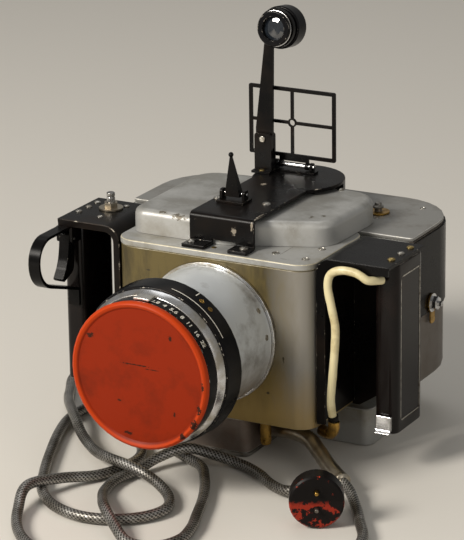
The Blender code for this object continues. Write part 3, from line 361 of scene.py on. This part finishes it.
# baked black enamel, a deep gloss with brown patches in it as a painted reflection of brown wood, grey where
# its edges are rubbed
blackEnamel = coating("blackStoveEnamel", blackLook)
wornEnamel = coating("rubbedEnamelEdge", {
    **blackLook, "stain": "#4a4037", "chip": "#b8b0a2", "chipFrom": 0.585, "chipSize": 7.0})
bracketEnamel = coating("blackEnamelBracket", {**blackLook, "chipFrom": 0.70, "spots": [
    ((33.0, -20.0, 213.0), (1.4, 11.0, 1.6)), ((31.5, -31, 208), (1.5, 1.5, 7)), ((-10, 70, 213), (3, 5, 1)),
    ((14, -31, 200), (3, 2, 4))]})

# black anodised aluminium, satin, grey along the rims
anodised = coating("blackAnodisedRing", {
    **blackLook, "colour": "#101012", "stain": "#25211e", "chip": "#a09a90", "chipFrom": 0.74,
    "roughness": (0.22, 0.36), "metallic": 0.2})
wornAnodised = coating("rubbedAnodisedEdge", {
    **blackLook, "colour": "#1b1a1a", "chip": "#a8a298", "chipFrom": 0.57, "chipSize": 5.0, "metallic": 0.3})

# moulded phenolic: the grips polished by hands, the plug painted red and mostly worn back to black
bakelite = coating("mouldedBakelite", {
    **blackLook, "colour": "#110d0c", "stain": "#1f1613", "chip": "#4a3a30", "chipFrom": 0.76,
    "roughness": (0.14, 0.26), "specular": 0.2})
# the grips' rounded edges are coloured light grey: rubbed wear, brightened further as a painted highlight
# along those edges
bakeliteEdgeWearAndHighlight = coating("rubbedBakeliteEdgeAndHighlight", {
    **blackLook, "colour": "#3a322c", "stain": "#a09a90", "stainSize": 20.0, "stainFrom": 0.48,
    "chip": "#d9d4ca", "chipFrom": 0.62, "chipSize": 10.0})
plugMould = coating("redPaintedPlug", {
    **blackLook, "colour": "#171211", "stain": "#8f2c1d", "stainSize": 9.0, "stainFrom": 0.5,
    "stainSoft": 0.02, "chip": "#c2432c", "chipFrom": 0.64, "chipSize": 7.0, "roughness": (0.3, 0.5),
    "fades": [{"axis": "Z", "start": 0.029, "end": 0.033, "colour": "#120f0e", "wander": 0.014}]})

# cream plastic tube, yellowed and grimy; film base wound tight, dark and glossy
sleevePvc = coating("creamPvcSleeve", {
    **silverLook, "colour": "#e3d7ab", "stain": "#b7a573", "stainSize": 26.0, "stainFrom": 0.5,
    "chip": "#7d6c47", "chipFrom": 0.72, "chipSize": 6.0, "metallic": 0.0, "bump": 0.12,
    "roughness": (0.28, 0.42)})
filmWound = coating("woundFilm", {**blackLook, "colour": "#2a1e1a", "stain": "#3a2a22", "grainSize": 0.3})

# brushed orange-red enamel: the turned rim is clean and bright, the flat face sun-browned and scratched
redEnamel = coating("redCapEnamel", {
    **blackLook, "colour": "#862406", "stain": "#641d08", "stainSize": 30.0, "stainFrom": 0.47,
    "stainSoft": 0.3, "chip": "#33190f", "chipSize": 4.0, "chipFrom": 0.73, "grainSize": 2.2,
    "roughness": (0.36, 0.5), "bump": 0.2,
    "fades": [{"axis": "ring", "start": 0.0595, "end": 0.0608, "colour": "#b33a0e", "wander": 0.0}],
    "spots": [((-4, -173, 121.8), (21, 4, 0.7)), ((14, -173, 119.6), (9, 6, 0.5)),
              ((52, -174, 78), (4, 6, 6)),
              ((57, -174, 92), (3, 6, 5)), ((41, -173, 66), (4, 6, 4)), ((-47, -174, 141), (4, 6, 3)),
              ((61, -172, 112), (2.4, 6, 7)), ((30, -173, 150), (2, 6, 3)), ((-20, -173, 88), (2, 6, 1.4)),
              ((-12, -173, 60), (5, 6, 2)), ((33, -173, 84), (1.6, 6, 3))]})
figureWhite = coating("figureWhitePaint", {  # matt white filling of the engraved figures
    **silverLook, "colour": "#e4e0d4", "stain": "#b4ae9e", "stainSize": 5.0, "stainFrom": 0.5,
    "chip": "#8d877a", "chipFrom": 0.7, "metallic": 0.0})

# what every bare metal shares: where its dull patches begin and end, and the depth of its working marks
metalLook = {"dullFrom": 0.42, "dullTo": 0.66, "roughFrom": 0.35, "roughTo": 0.7, "markScale": 900.0,
             "bump": 0.15, "bumpDepth": 0.0001, "turned": (0.2, 6, 0.2)}


def bareMetal(name, colour, dull, roughness, grain=(1, 1, 1), dullSize=12.0):
    # plain or plated metal: fine working marks, with dull patches where it has tarnished
    material, tree, shader, place = newMaterial(name)
    patches = noiseOf(tree, place, 1000 / dullSize, 6.0)
    share = rangeOf(tree, patches, metalLook["dullFrom"], metalLook["dullTo"])
    marks = addNode(tree, "Mapping", Vector=place, Scale=grain).outputs[0]
    fine = noiseOf(tree, marks, metalLook["markScale"], 3.0)
    connect(tree, shader, Base_Color=mixOf(tree, share, hexColour(colour), hexColour(dull)), Metallic=1.0,
            Roughness=rangeOf(tree, patches, metalLook["roughFrom"], metalLook["roughTo"], *roughness),
            Normal=bumpOf(tree, fine, metalLook["bump"], metalLook["bumpDepth"]))
    return material


glassLook = {"colour": "#0a0d12", "dust": "#2b3138", "dustScale": 420.0, "roughness": (0.02, 0.14),
             "IOR": 1.6, "coat": 1.0, "coatRoughness": 0.03}


def lensGlass(look):
    # coated optical glass: near black from outside, with a faint blue coat and dust in its gloss
    material, tree, shader, place = newMaterial("coatedOpticalGlass")
    dust = noiseOf(tree, place, look["dustScale"], 5.0)
    connect(tree, shader, Base_Color=mixOf(tree, dust, hexColour(look["colour"]), hexColour(look["dust"])),
            Roughness=rangeOf(tree, dust, 0.4, 0.7, *look["roughness"]), IOR=look["IOR"],
            Coat_Weight=look["coat"], Coat_Roughness=look["coatRoughness"])
    return material


polishedSteel = bareMetal("platedSteelScrew", "#c9c6be", "#8a8378", (0.2, 0.45), dullSize=4.0)
yellowedZinc = bareMetal("yellowedZincScrew", "#b9a36c", "#7a6844", (0.3, 0.5), dullSize=4.0)
chromePlate = bareMetal("chromePlate", "#d7d8da", "#9c9a97", (0.08, 0.22))
satinAluminium = bareMetal("turnedAluminium", "#d2d2d3", "#a9a294", (0.2, 0.4), metalLook["turned"])
satinNickel = bareMetal("satinNickelPipe", "#b5ac9b", "#8b8172", (0.28, 0.5), dullSize=18.0)
wornBrass = bareMetal("tarnishedBrass", "#b8924a", "#7c6236", (0.25, 0.5), dullSize=8.0)
bareSteel = bareMetal("bareSteel", "#a5a39e", "#716c64", (0.28, 0.5))
whiteMetal = bareMetal("whiteSpringMetal", "#e4e2dc", "#b8b2a6", (0.3, 0.5))
darkGlass = lensGlass(glassLook)
print("finishes mixed")


def onlySelect(piece):
    bpy.ops.object.select_all(action="DESELECT")
    piece.select_set(True)
    bpy.context.view_layer.objects.active = piece


def applyAll(piece):
    onlySelect(piece)
    for name in [modifier.name for modifier in piece.modifiers]:
        bpy.ops.object.modifier_apply(modifier=name)


def finishPiece(piece, bodyName, slotName, *replaced):
    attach(piece, bodyName)
    if replaced:
        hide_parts(*replaced)
    return piece


shellLook = {"weld": 0.02, "flat": 0.6, "segments": 2, "bevelAngle": 40, "smoothAngle": 38}


def refineNode(nodeName, bodyName, slotName, finish, wornFinish, edge):
    # a clean copy of a solid part: its triangles merged into whole faces, its edges rounded and rubbed
    piece = bpy.data.objects.new(nodeName + "Shell", nodes[nodeName].data.copy())
    bpy.context.scene.collection.objects.link(piece)
    piece.data.materials.clear()
    for material in (finish, wornFinish or finish):
        piece.data.materials.append(material)
    onlySelect(piece)
    bpy.ops.mesh.customdata_custom_splitnormals_clear()
    bpy.ops.object.mode_set(mode="EDIT")
    bpy.ops.mesh.select_all(action="SELECT")
    bpy.ops.mesh.remove_doubles(threshold=shellLook["weld"] * mm)
    bpy.ops.mesh.dissolve_limited(angle_limit=math.radians(shellLook["flat"]))
    bpy.ops.object.mode_set(mode="OBJECT")
    if edge:
        bevel = piece.modifiers.new("roundedEdges", "BEVEL")
        bevel.width = edge * mm
        bevel.segments = shellLook["segments"]
        bevel.limit_method = "ANGLE"
        bevel.angle_limit = math.radians(shellLook["bevelAngle"])
        bevel.material = 1 if wornFinish else -1
    bpy.ops.object.shade_smooth_by_angle(angle=math.radians(shellLook["smoothAngle"]))
    piece.modifiers.new("evenShading", "WEIGHTED_NORMAL").keep_sharp = True
    applyAll(piece)
    return finishPiece(piece, bodyName, slotName, nodeName)


# each solid part: body, slot, finish, finish of its rubbed edges, edge rounding in mm
shells = {
    "front_body": ("camera", "patina_paint", patina, wornPatina, 0.6),
    "body_lid": ("camera", "silver_paint", lidLacquer, creamEdge, 0.5),
    "pedestal_housing": ("camera", "silver_paint", barrelLacquerPaintedShadeBelow, wornSilver, 0.6),
    "drive_housing": ("camera", "silver_paint", silverLacquer, wornSilver, 0.4),
    "gear_cover": ("camera", "silver_paint", coverLacquer, None, 0.0),
    "magazine_shell": ("magazine", "silver_paint", magazineLacquerPaintedShade, wornSilver, 0.5),
    "magazine_lid": ("magazine", "silver_paint", duskyLacquer, wornSilver, 0.4),
    "lens_barrel": ("camera", "silver_paint", barrelLacquerPaintedShadeBelow, wornSilver, 0.4),
    "lens_flange": ("camera", "satin_aluminium", satinAluminium, None, 0.4),
    "front_collar": ("camera", "satin_aluminium", satinAluminium, None, 0.3),
    "stop_ring": ("stop", "black_anodised", anodised, wornAnodised, 0.4),
    "front_ring": ("camera", "black_anodised", anodised, wornAnodised, 0.3),
    "lens_cap": ("cap", "red_paint", redEnamel, None, 0.0),
    "cap_clip_top": ("cap", "white_metal", whiteMetal, None, 0.3),
    "cap_clip_bottom": ("cap", "white_metal", whiteMetal, None, 0.3),
    "finder_bracket": ("camera", "black_enamel", bracketEnamel, wornEnamel, 0.5),
    "sight_base": ("camera", "black_enamel", blackEnamel, wornEnamel, 0.3),
    "sight_pin": ("camera", "chrome", chromePlate, None, 0.3),
    "front_sight": ("sight", "black_enamel", blackEnamel, wornEnamel, 0.3),
    "frame_hinge": ("camera", "black_enamel", blackEnamel, wornEnamel, 0.25),
    "hinge_rod": ("camera", "chrome", chromePlate, None, 0.4),
    "finder_frame": ("frame_finder", "black_enamel", blackEnamel, wornEnamel, 0.25),
    "stalk_base": ("camera", "black_enamel", blackEnamel, wornEnamel, 0.4),
    "stalk_arm": ("eyepiece", "black_enamel", blackEnamel, wornEnamel, 0.3),
    "stalk_screw": ("camera", "steel", polishedSteel, None, 0.2),
    "eyepiece_tube": ("eyepiece", "black_anodised", anodised, wornAnodised, 0.3),
    "handle_frame_left": ("camera", "black_enamel", blackEnamel, wornEnamel, 0.5),
    "handle_frame_right": ("camera", "black_enamel", blackEnamel, wornEnamel, 0.5),
    "grip_left": ("camera", "bakelite", bakelite, bakeliteEdgeWearAndHighlight, 0.6),
    "grip_right": ("camera", "bakelite", bakelite, bakeliteEdgeWearAndHighlight, 0.6),
    "grip_tab": ("tab", "steel", chromePlate, None, 0.3),
    "trigger": ("trigger_lever", "black_enamel", blackEnamel, wornEnamel, 0.5),
    "trigger_guard": ("camera", "black_enamel", blackEnamel, wornEnamel, 0.5),
    "trigger_pin": ("camera", "steel", bareSteel, None, 0.2),
    "button_nut": ("camera", "nickel_tube", satinNickel, None, 0.3),
    "release_button": ("release", "chrome", chromePlate, None, 0.2),
    "side_plate_left": ("magazine", "black_enamel", blackEnamel, wornEnamel, 0.3),
    "side_plate_right": ("magazine", "black_enamel", blackEnamel, wornEnamel, 0.3),
    "latch_left": ("left_latch", "chrome", chromePlate, None, 0.3),
    "latch_right": ("right_latch", "chrome", chromePlate, None, 0.3),
    "counter_knob": ("counter", "steel", bareSteel, None, 0.25),
    "sleeve_elbow": ("camera", "brass", wornBrass, None, 0.2),
    "brass_stud": ("camera", "brass", wornBrass, None, 0.4),
    "base_plate": ("camera", "steel", bareSteel, None, 0.0),
    "plug_body": ("camera", "bakelite", plugMould, bakelite, 0.5),
    "plug_pin_upper": ("camera", "brass", wornBrass, None, 0.2),
    "plug_pin_lower": ("camera", "steel", bareSteel, None, 0.2),
}
refined = {name: refineNode(name, *facts) for name, facts in shells.items()}

# the counter's and the right latch's washers are dull brass: all that lies nearer the camera than a level
washers = {"counter_knob": {"axis": 2, "level": 0.1871}, "latch_right": {"axis": 0, "level": 0.1438}}
for name, washer in washers.items():
    mesh = refined[name].data
    mesh.materials[1] = wornBrass
    for polygon in mesh.polygons:
        polygon.material_index = int(abs(polygon.center[washer["axis"]]) < washer["level"])

# inner parts keep their shape and take a worked surface
innerFinish = {"front_lens": darkGlass, "rear_lens": darkGlass, "eyepiece_lens": darkGlass,
               "shutter_case": anodised, "shutter_disc": bareSteel, "pressure_plate": bareSteel,
               "supply_spool": anodised, "take_up_spool": anodised, "film_roll": filmWound}
for name, material in innerFinish.items():
    for slotHere in nodes[name].material_slots:
        slotHere.material = material
print("parts refined")

cordPoints, cordLength = smoothRoute(cordStops(), cordLook["rings"])
powerCord = tubeMesh("powerCordBraid", cordPoints, braidRadius, cordLook["sides"], tinnedBraid(braidFinish))
finishPiece(powerCord, "camera", "metal_braid", "power_cord")
print("power cord laid,", round(cordLength / mm), "mm")

# cream sleeve over the trigger wires, its surface slightly uneven
sleeveLook = {"radius": 3.6, "ripples": ((0.06, 5.5, 0.0), (0.05, 2.3, 1.0)), "rings": 150, "sides": 24,
              "stops": [(153.5, -26.7, 175.4), (150.5, -35.5, 177.0), (146.5, -40.9, 178.4),
                        (141.5, -42.5, 181.8), (135, -42.5, 184), (122.1, -42.5, 184), (113.1, -42.5, 179.5),
                        (110.1, -42.5, 170), (114.1, -42.5, 148), (117.1, -42.5, 133), (116.6, -42.5, 113),
                        (114.6, -42.5, 89), (112.1, -41, 63), (111.6, -35.5, 44.5)]}
# nickel pipe that the power cord comes out of, with a rolled lip at its end
pipeLook = {"radius": 6.9, "lip": 0.5, "lipLength": 4, "rings": 120, "sides": 32,
            "stops": [(35.5, -20, 20), (49.5, -22, 22), (86, -36, 25), (104, -50, 21), (125, -70, 17),
                      (146, -87, 13)]}
pipePoints, pipeLength = smoothRoute(pipeLook["stops"], pipeLook["rings"])
sleevePoints, sleeveLength = smoothRoute(sleeveLook["stops"], sleeveLook["rings"])


def sleeveRadius(angle, travelled):
    swell = sum(high * math.sin(travelled / mm / long + shift) for high, long, shift in sleeveLook["ripples"])
    return (sleeveLook["radius"] + swell) * mm, 0.5


def pipeRadius(angle, travelled):
    atLip = travelled > pipeLength - pipeLook["lipLength"] * mm
    return (pipeLook["radius"] + (pipeLook["lip"] if atLip else 0.0)) * mm, 0.5


sleeve = tubeMesh("wireSleeve", sleevePoints, sleeveRadius, sleeveLook["sides"], sleevePvc)
finishPiece(sleeve, "camera", "cream_sleeve", "cream_sleeve")
pipe = tubeMesh("cordPipe", pipePoints, pipeRadius, pipeLook["sides"], satinNickel)
finishPiece(pipe, "camera", "nickel_tube", "conduit")
print("sleeve", round(sleeveLength / mm), "mm and pipe", round(pipeLength / mm), "mm drawn")

# screws: a round head and a head with a raised rim, a millimetre in radius, then copied to their places;
# each top face is inset and lifted in turn, and a slot is cut down to its floor
headShapes = {
    "round": {"depth": 0.36, "steps": ((0.10, 0.14), (0.20, 0.14), (0.30, 0.07)),
              "slotFloor": 0.22, "slotWidth": 0.2},
    "ringed": {"depth": 0.24, "steps": ((0.08, 0.06), (0.14, 0.0), (0.06, -0.12), (0.06, 0.1)),
               "slotFloor": 0.05, "slotWidth": 0.16}}


def screwHead(shape):
    bpy.ops.mesh.primitive_cylinder_add(vertices=28, radius=1, depth=shape["depth"])
    head = bpy.context.object
    bpy.ops.object.mode_set(mode="EDIT")
    bpy.ops.mesh.select_mode(type="FACE")
    bpy.ops.object.mode_set(mode="OBJECT")
    for polygon in head.data.polygons:
        polygon.select = polygon.normal.z > 0.9
    bpy.ops.object.mode_set(mode="EDIT")
    for inset, rise in shape["steps"]:
        bpy.ops.mesh.inset(thickness=inset)
        bpy.ops.transform.translate(value=(0, 0, rise))
    bpy.ops.object.mode_set(mode="OBJECT")
    bpy.ops.mesh.primitive_cube_add(size=1, location=(0, 0, shape["slotFloor"] + 0.5),
                                    scale=(3, shape["slotWidth"], 1))
    cutter = bpy.context.object
    slot = head.modifiers.new("slot", "BOOLEAN")
    slot.object = cutter
    slot.solver = "EXACT"
    applyAll(head)
    bpy.data.objects.remove(cutter, do_unlink=True)
    return head


def aimAt(place, facing):
    # turns something built upwards to face a way, at a place in mm
    aim = Vector(facing).to_track_quat("Z", "Y").to_matrix().to_4x4()
    return Matrix.Translation(Vector(place) * mm) @ aim


def placeCopy(template, name, at, facing, radius, turn, bodyName, slotName, material):
    copy = bpy.data.objects.new(name, template.data.copy())
    bpy.context.scene.collection.objects.link(copy)
    size = Matrix.Diagonal((radius * mm, radius * mm, radius * mm, 1))
    copy.data.transform(aimAt(at, facing) @ Matrix.Rotation(turn, 4, "Z") @ size)
    copy.data.materials.clear()
    copy.data.materials.append(material)
    onlySelect(copy)
    bpy.ops.object.shade_smooth_by_angle(angle=math.radians(35))
    return finishPiece(copy, bodyName, slotName)


def onRing(radius, y, degrees):
    # place on a ring round the lens axis, and the way it faces
    turn = math.radians(degrees)
    place = (radius * math.cos(turn), y, lensHeight / mm + radius * math.sin(turn))
    return place, (math.cos(turn), 0, math.sin(turn))


upwards, towards = (0, 0, 1), (0, -1, 0)
# name, place in mm, facing, radius, body, finish, head
screws = [
    ("bracketFootScrewLeft", (-23.9, -37.5, 188.4), upwards, 3.9, "camera", polishedSteel, "round"),
    ("bracketFootScrewRight", (27.2, -37.5, 188.4), upwards, 3.9, "camera", polishedSteel, "round"),
    ("bracketTopScrewLeft", (-25.4, 13.3, 213.1), upwards, 3.9, "camera", polishedSteel, "round"),
    ("bracketTopScrewRight", (21.6, 15.4, 213.1), upwards, 3.9, "camera", polishedSteel, "round"),
    ("lidScrewFront", (52.5, -26.8, 185.1), upwards, 3.4, "camera", polishedSteel, "ringed"),
    ("lidScrewCorner", (83.0, -30.6, 185.1), upwards, 3.4, "camera", polishedSteel, "ringed"),
    ("lidScrewSide", (82.9, 0.5, 185.1), upwards, 3.4, "camera", polishedSteel, "ringed"),
    ("lidScrewMiddle", (-2.8, -36.0, 185.1), upwards, 2.2, "camera", yellowedZinc, "ringed"),
    ("coverScrew", (51.1, 101.3, 207.1), upwards, 3.2, "camera", polishedSteel, "round"),
    ("stalkFootScrew", (-27.4, 99.8, 215.6), upwards, 2.5, "camera", yellowedZinc, "round"),
    ("plateScrewRightFront", (157.5, -16.8, 191.1), upwards, 3.4, "camera", yellowedZinc, "round"),
    ("plateScrewRightMiddle", (157.5, 1.9, 191.1), upwards, 3.2, "camera", polishedSteel, "round"),
    ("plateScrewRightRear", (157.5, 20.4, 191.1), upwards, 3.2, "camera", yellowedZinc, "round"),
    ("plateScrewLeftFront", (-152.8, -12.4, 191.1), upwards, 3.0, "camera", polishedSteel, "round"),
    ("plateScrewLeftMiddle", (-152.1, 3.8, 191.1), upwards, 3.0, "camera", polishedSteel, "round"),
    ("plateScrewLeftRear", (-152.0, 18.5, 191.1), upwards, 3.0, "camera", polishedSteel, "round"),
    ("plateScrewInnerFront", (-127.4, -18.3, 191.1), upwards, 2.6, "camera", polishedSteel, "round"),
    ("plateScrewInnerRear", (-122.4, 19.9, 191.1), upwards, 2.6, "camera", polishedSteel, "round"),
    ("gripScrewLeft", (-155.2, -22.2, 113.2), towards, 3.6, "camera", polishedSteel, "round"),
    ("barrelScrewUpper", *onRing(61.0, -60, 30), 2.6, "camera", polishedSteel, "ringed"),
    ("barrelScrewLower", *onRing(61.0, -60, 7), 2.6, "camera", polishedSteel, "ringed"),
    ("barrelScrewLeft", *onRing(61.0, -60, 150), 2.6, "camera", polishedSteel, "ringed"),
    ("stopScrewUpper", *onRing(70.6, -133, 57), 2.4, "stop", wornBrass, "ringed"),
    ("stopScrewLower", *onRing(70.6, -133, 49), 2.4, "stop", wornBrass, "ringed"),
    ("stopScrewLeft", *onRing(70.6, -133, 140), 2.4, "stop", wornBrass, "ringed"),
    ("frontRingScrew", *onRing(64.2, -160, 30), 1.7, "camera", polishedSteel, "ringed"),
    ("magazineLidScrew60", (60, 60.5, 185.1), upwards, 2.6, "magazine", polishedSteel, "ringed"),
    ("magazineLidScrew110", (85, 104.25, 185.1), upwards, 2.6, "magazine", polishedSteel, "ringed"),
    ("magazineLidScrew160", (110, 148, 185.1), upwards, 2.6, "magazine", polishedSteel, "ringed"),
]
slotOf = {polishedSteel: "steel", yellowedZinc: "brass", wornBrass: "brass"}
heads = {name: screwHead(shape) for name, shape in headShapes.items()}
random.seed(7)
for name, at, facing, radius, bodyName, material, head in screws:
    turn = random.uniform(0, 3.1)
    placeCopy(heads[head], name, at, facing, radius, turn, bodyName, slotOf[material], material)
for template in heads.values():
    bpy.data.objects.remove(template, do_unlink=True)
print(len(screws), "screws set")

# marks on the lens rings: filled figures and engraved lines, bent round the ring they sit on; sizes and
# places along the lens in mm, start in degrees
markDepth = 0.08
figuresLook = {"text": "2.8  4  5.6  8  11  16  22", "size": 6.4, "bold": 0.12, "curveSteps": 3,
               "weld": 0.005, "radius": 64.28, "y": -163.5, "start": 84}
ringLines = {"stopRingLine": {"length": 62, "wide": 0.7, "radius": 71.0, "y": -141.5, "start": 78},
             "stopRingIndex": {"length": 0.9, "wide": 6.0, "radius": 71.35, "y": -129.5, "start": 63}}


def bendRound(piece, look):
    for vertex in piece.data.vertices:
        angle = math.radians(look["start"]) - vertex.co.x / (look["radius"] * mm)
        reach = look["radius"] * mm + vertex.co.z
        along = look["y"] * mm + vertex.co.y
        vertex.co = (reach * math.cos(angle), along, lensHeight + reach * math.sin(angle))


def ringFigures(name, look, bodyName):
    bpy.ops.object.text_add(location=(0, 0, 0))
    figures = bpy.context.object
    figures.name = name
    figures.data.body = look["text"]
    figures.data.size = look["size"] * mm
    figures.data.extrude = markDepth * mm
    figures.data.offset = look["bold"] * mm
    figures.data.resolution_u = look["curveSteps"]
    onlySelect(figures)
    bpy.ops.object.convert(target="MESH")
    figures = bpy.context.object
    bpy.ops.object.mode_set(mode="EDIT")
    bpy.ops.mesh.select_all(action="SELECT")
    bpy.ops.mesh.remove_doubles(threshold=look["weld"] * mm)
    bpy.ops.mesh.normals_make_consistent(inside=False)
    bpy.ops.object.mode_set(mode="OBJECT")
    bendRound(figures, look)
    figures.data.materials.clear()
    figures.data.materials.append(figureWhite)
    return finishPiece(figures, bodyName, "white_metal")


def ringLine(name, look, bodyName):
    steps = max(4, int(look["length"] / 2))
    bpy.ops.mesh.primitive_grid_add(x_subdivisions=steps, y_subdivisions=1, size=1, location=(0, 0, 0))
    line = bpy.context.object
    line.name = name
    for vertex in line.data.vertices:
        vertex.co = ((vertex.co.x + 0.5) * look["length"] * mm, vertex.co.y * look["wide"] * mm, 0)
    thick = line.modifiers.new("thickness", "SOLIDIFY")
    thick.thickness = 2 * markDepth * mm
    thick.offset = 0
    applyAll(line)
    bendRound(line, look)
    line.data.materials.append(figureWhite)
    return finishPiece(line, bodyName, "white_metal")


ringFigures("frontRingFigures", figuresLook, "camera")
for name, look in ringLines.items():
    ringLine(name, look, "stop")
print("rings marked")

# turned bands: the clamp at the foot of the cream sleeve, a bright band round the eyepiece's front and the
# washer of the left grip's screw; back and front are along the way each one faces, in mm
eyepieceTilt = math.radians(7)
stalkLean = math.radians(7.5)
bands = {
    "sleeveClamp": {"inner": 3.75, "outer": 4.7, "back": 0, "front": 5, "at": (111.7, -36.9, 50),
                    "facing": (0.02, 0.28, -1), "body": "camera", "slot": "black_enamel",
                    "finish": blackEnamel},
    "eyepieceBand": {"inner": 14.6, "outer": 16.4, "back": 3.2, "front": 4.4,
                     "at": (-21.4, 108 + 90.3 * math.tan(stalkLean), 343.3),
                     "facing": (0, -math.cos(eyepieceTilt), math.sin(eyepieceTilt)), "body": "eyepiece",
                     "slot": "chrome", "finish": satinAluminium},
    "gripScrewRing": {"inner": 3.7, "outer": 5.0, "back": 0, "front": 0.5, "at": (-155.2, -22.0, 113.2),
                      "facing": towards, "body": "camera", "slot": "steel", "finish": polishedSteel}}


def turnedBand(name, look):
    middle = (look["front"] + look["back"]) / 2 * mm
    bpy.ops.mesh.primitive_cylinder_add(vertices=48, radius=look["outer"] * mm, location=(0, 0, middle),
                                        depth=(look["front"] - look["back"]) * mm)
    band = bpy.context.object
    band.name = name
    bpy.ops.mesh.primitive_cylinder_add(vertices=48, radius=look["inner"] * mm, depth=0.2)
    bore = bpy.context.object
    cut = band.modifiers.new("bore", "BOOLEAN")
    cut.object = bore
    cut.solver = "EXACT"
    soft = band.modifiers.new("roundedEdges", "BEVEL")
    soft.width = 0.2 * mm
    soft.segments = 2
    applyAll(band)
    bpy.data.objects.remove(bore, do_unlink=True)
    onlySelect(band)
    bpy.ops.object.transform_apply(location=True, rotation=True, scale=True)
    band.data.transform(aimAt(look["at"], look["facing"]))
    bpy.ops.object.shade_smooth_by_angle(angle=math.radians(35))
    band.data.materials.append(look["finish"])
    return finishPiece(band, look["body"], look["slot"])


for name, look in bands.items():
    turnedBand(name, look)

# a rectangle of bright steel line let into each grip's outer face round its inset panel: a painted highlight
# where the panel's edge catches the light
gripHighlightLook = {"low": (-12.5, 45.5), "high": (25.5, 175.5), "wide": 0.9, "thick": 0.4, "face": 164.45}


def gripHighlight(name, side, look):
    bpy.ops.mesh.primitive_plane_add(size=1, location=(0, 0, 0))
    line = bpy.context.object
    line.name = name
    for vertex in line.data.vertices:
        y = (look["high"] if vertex.co.x > 0 else look["low"])[0]
        z = (look["high"] if vertex.co.y > 0 else look["low"])[1]
        vertex.co = (0, y * mm, z * mm)
    bpy.ops.object.mode_set(mode="EDIT")
    bpy.ops.mesh.select_all(action="SELECT")
    bpy.ops.mesh.inset(thickness=look["wide"] * mm)
    bpy.ops.mesh.delete(type="FACE")
    bpy.ops.object.mode_set(mode="OBJECT")
    thick = line.modifiers.new("thickness", "SOLIDIFY")
    thick.thickness = look["thick"] * mm
    thick.offset = 0
    applyAll(line)
    line.data.transform(Matrix.Translation((side * look["face"] * mm, 0, 0)))
    line.data.materials.append(polishedSteel)
    return finishPiece(line, "camera", "steel")


gripHighlight("gripHighlightRight", 1, gripHighlightLook)
gripHighlight("gripHighlightLeft", -1, gripHighlightLook)
print("bands and lines fitted")

# studio: a pale floor in a softly lit room, one big key lamp at the front left, a fill and a top lamp
studio = {"floor": "#d9d5cd", "floorSize": 6, "floorDrop": 0.4, "room": "#e8e6e2", "roomStrength": 0.34,
          "aim": (0, 0, 0.15), "lamps": [("keyLamp", (-1.1, -2.1, 1.7), 0.9, 84.0, "#fff9f0"),
                                         ("fillLamp", (2.2, -1.3, 1.0), 1.3, 7.0, "#fffaf4"),
                                         ("topLamp", (-0.6, 0.9, 2.2), 1.2, 6.0, "#ffffff")]}


def buildStudio(look):
    bpy.ops.mesh.primitive_plane_add(size=look["floorSize"], location=(0, 0, -look["floorDrop"] * mm))
    floor = bpy.context.object
    floor.name = "floor"
    material, tree, shader, _ = newMaterial("palePaperFloor")  # matt paper
    connect(tree, shader, Base_Color=hexColour(look["floor"]), Roughness=0.85)
    floor.data.materials.append(material)
    world = bpy.data.worlds.new("softRoom")
    bpy.context.scene.world = world
    world.use_nodes = True
    connect(world.node_tree, world.node_tree.nodes["Background"], Color=hexColour(look["room"]),
            Strength=look["roomStrength"])
    for name, place, size, power, colour in look["lamps"]:
        data = bpy.data.lights.new(name, "AREA")
        data.size = size
        data.energy = power
        data.color = hexColour(colour)[:3]
        lamp = bpy.data.objects.new(name, data)
        lamp.location = place
        lamp.rotation_euler = (Vector(look["aim"]) - Vector(place)).to_track_quat("-Z", "Y").to_euler()
        bpy.context.scene.collection.objects.link(lamp)


buildStudio(studio)
bpy.context.scene.view_settings.view_transform = "Standard"
print("studio lit")

bpy.ops.object.select_all(action="DESELECT")
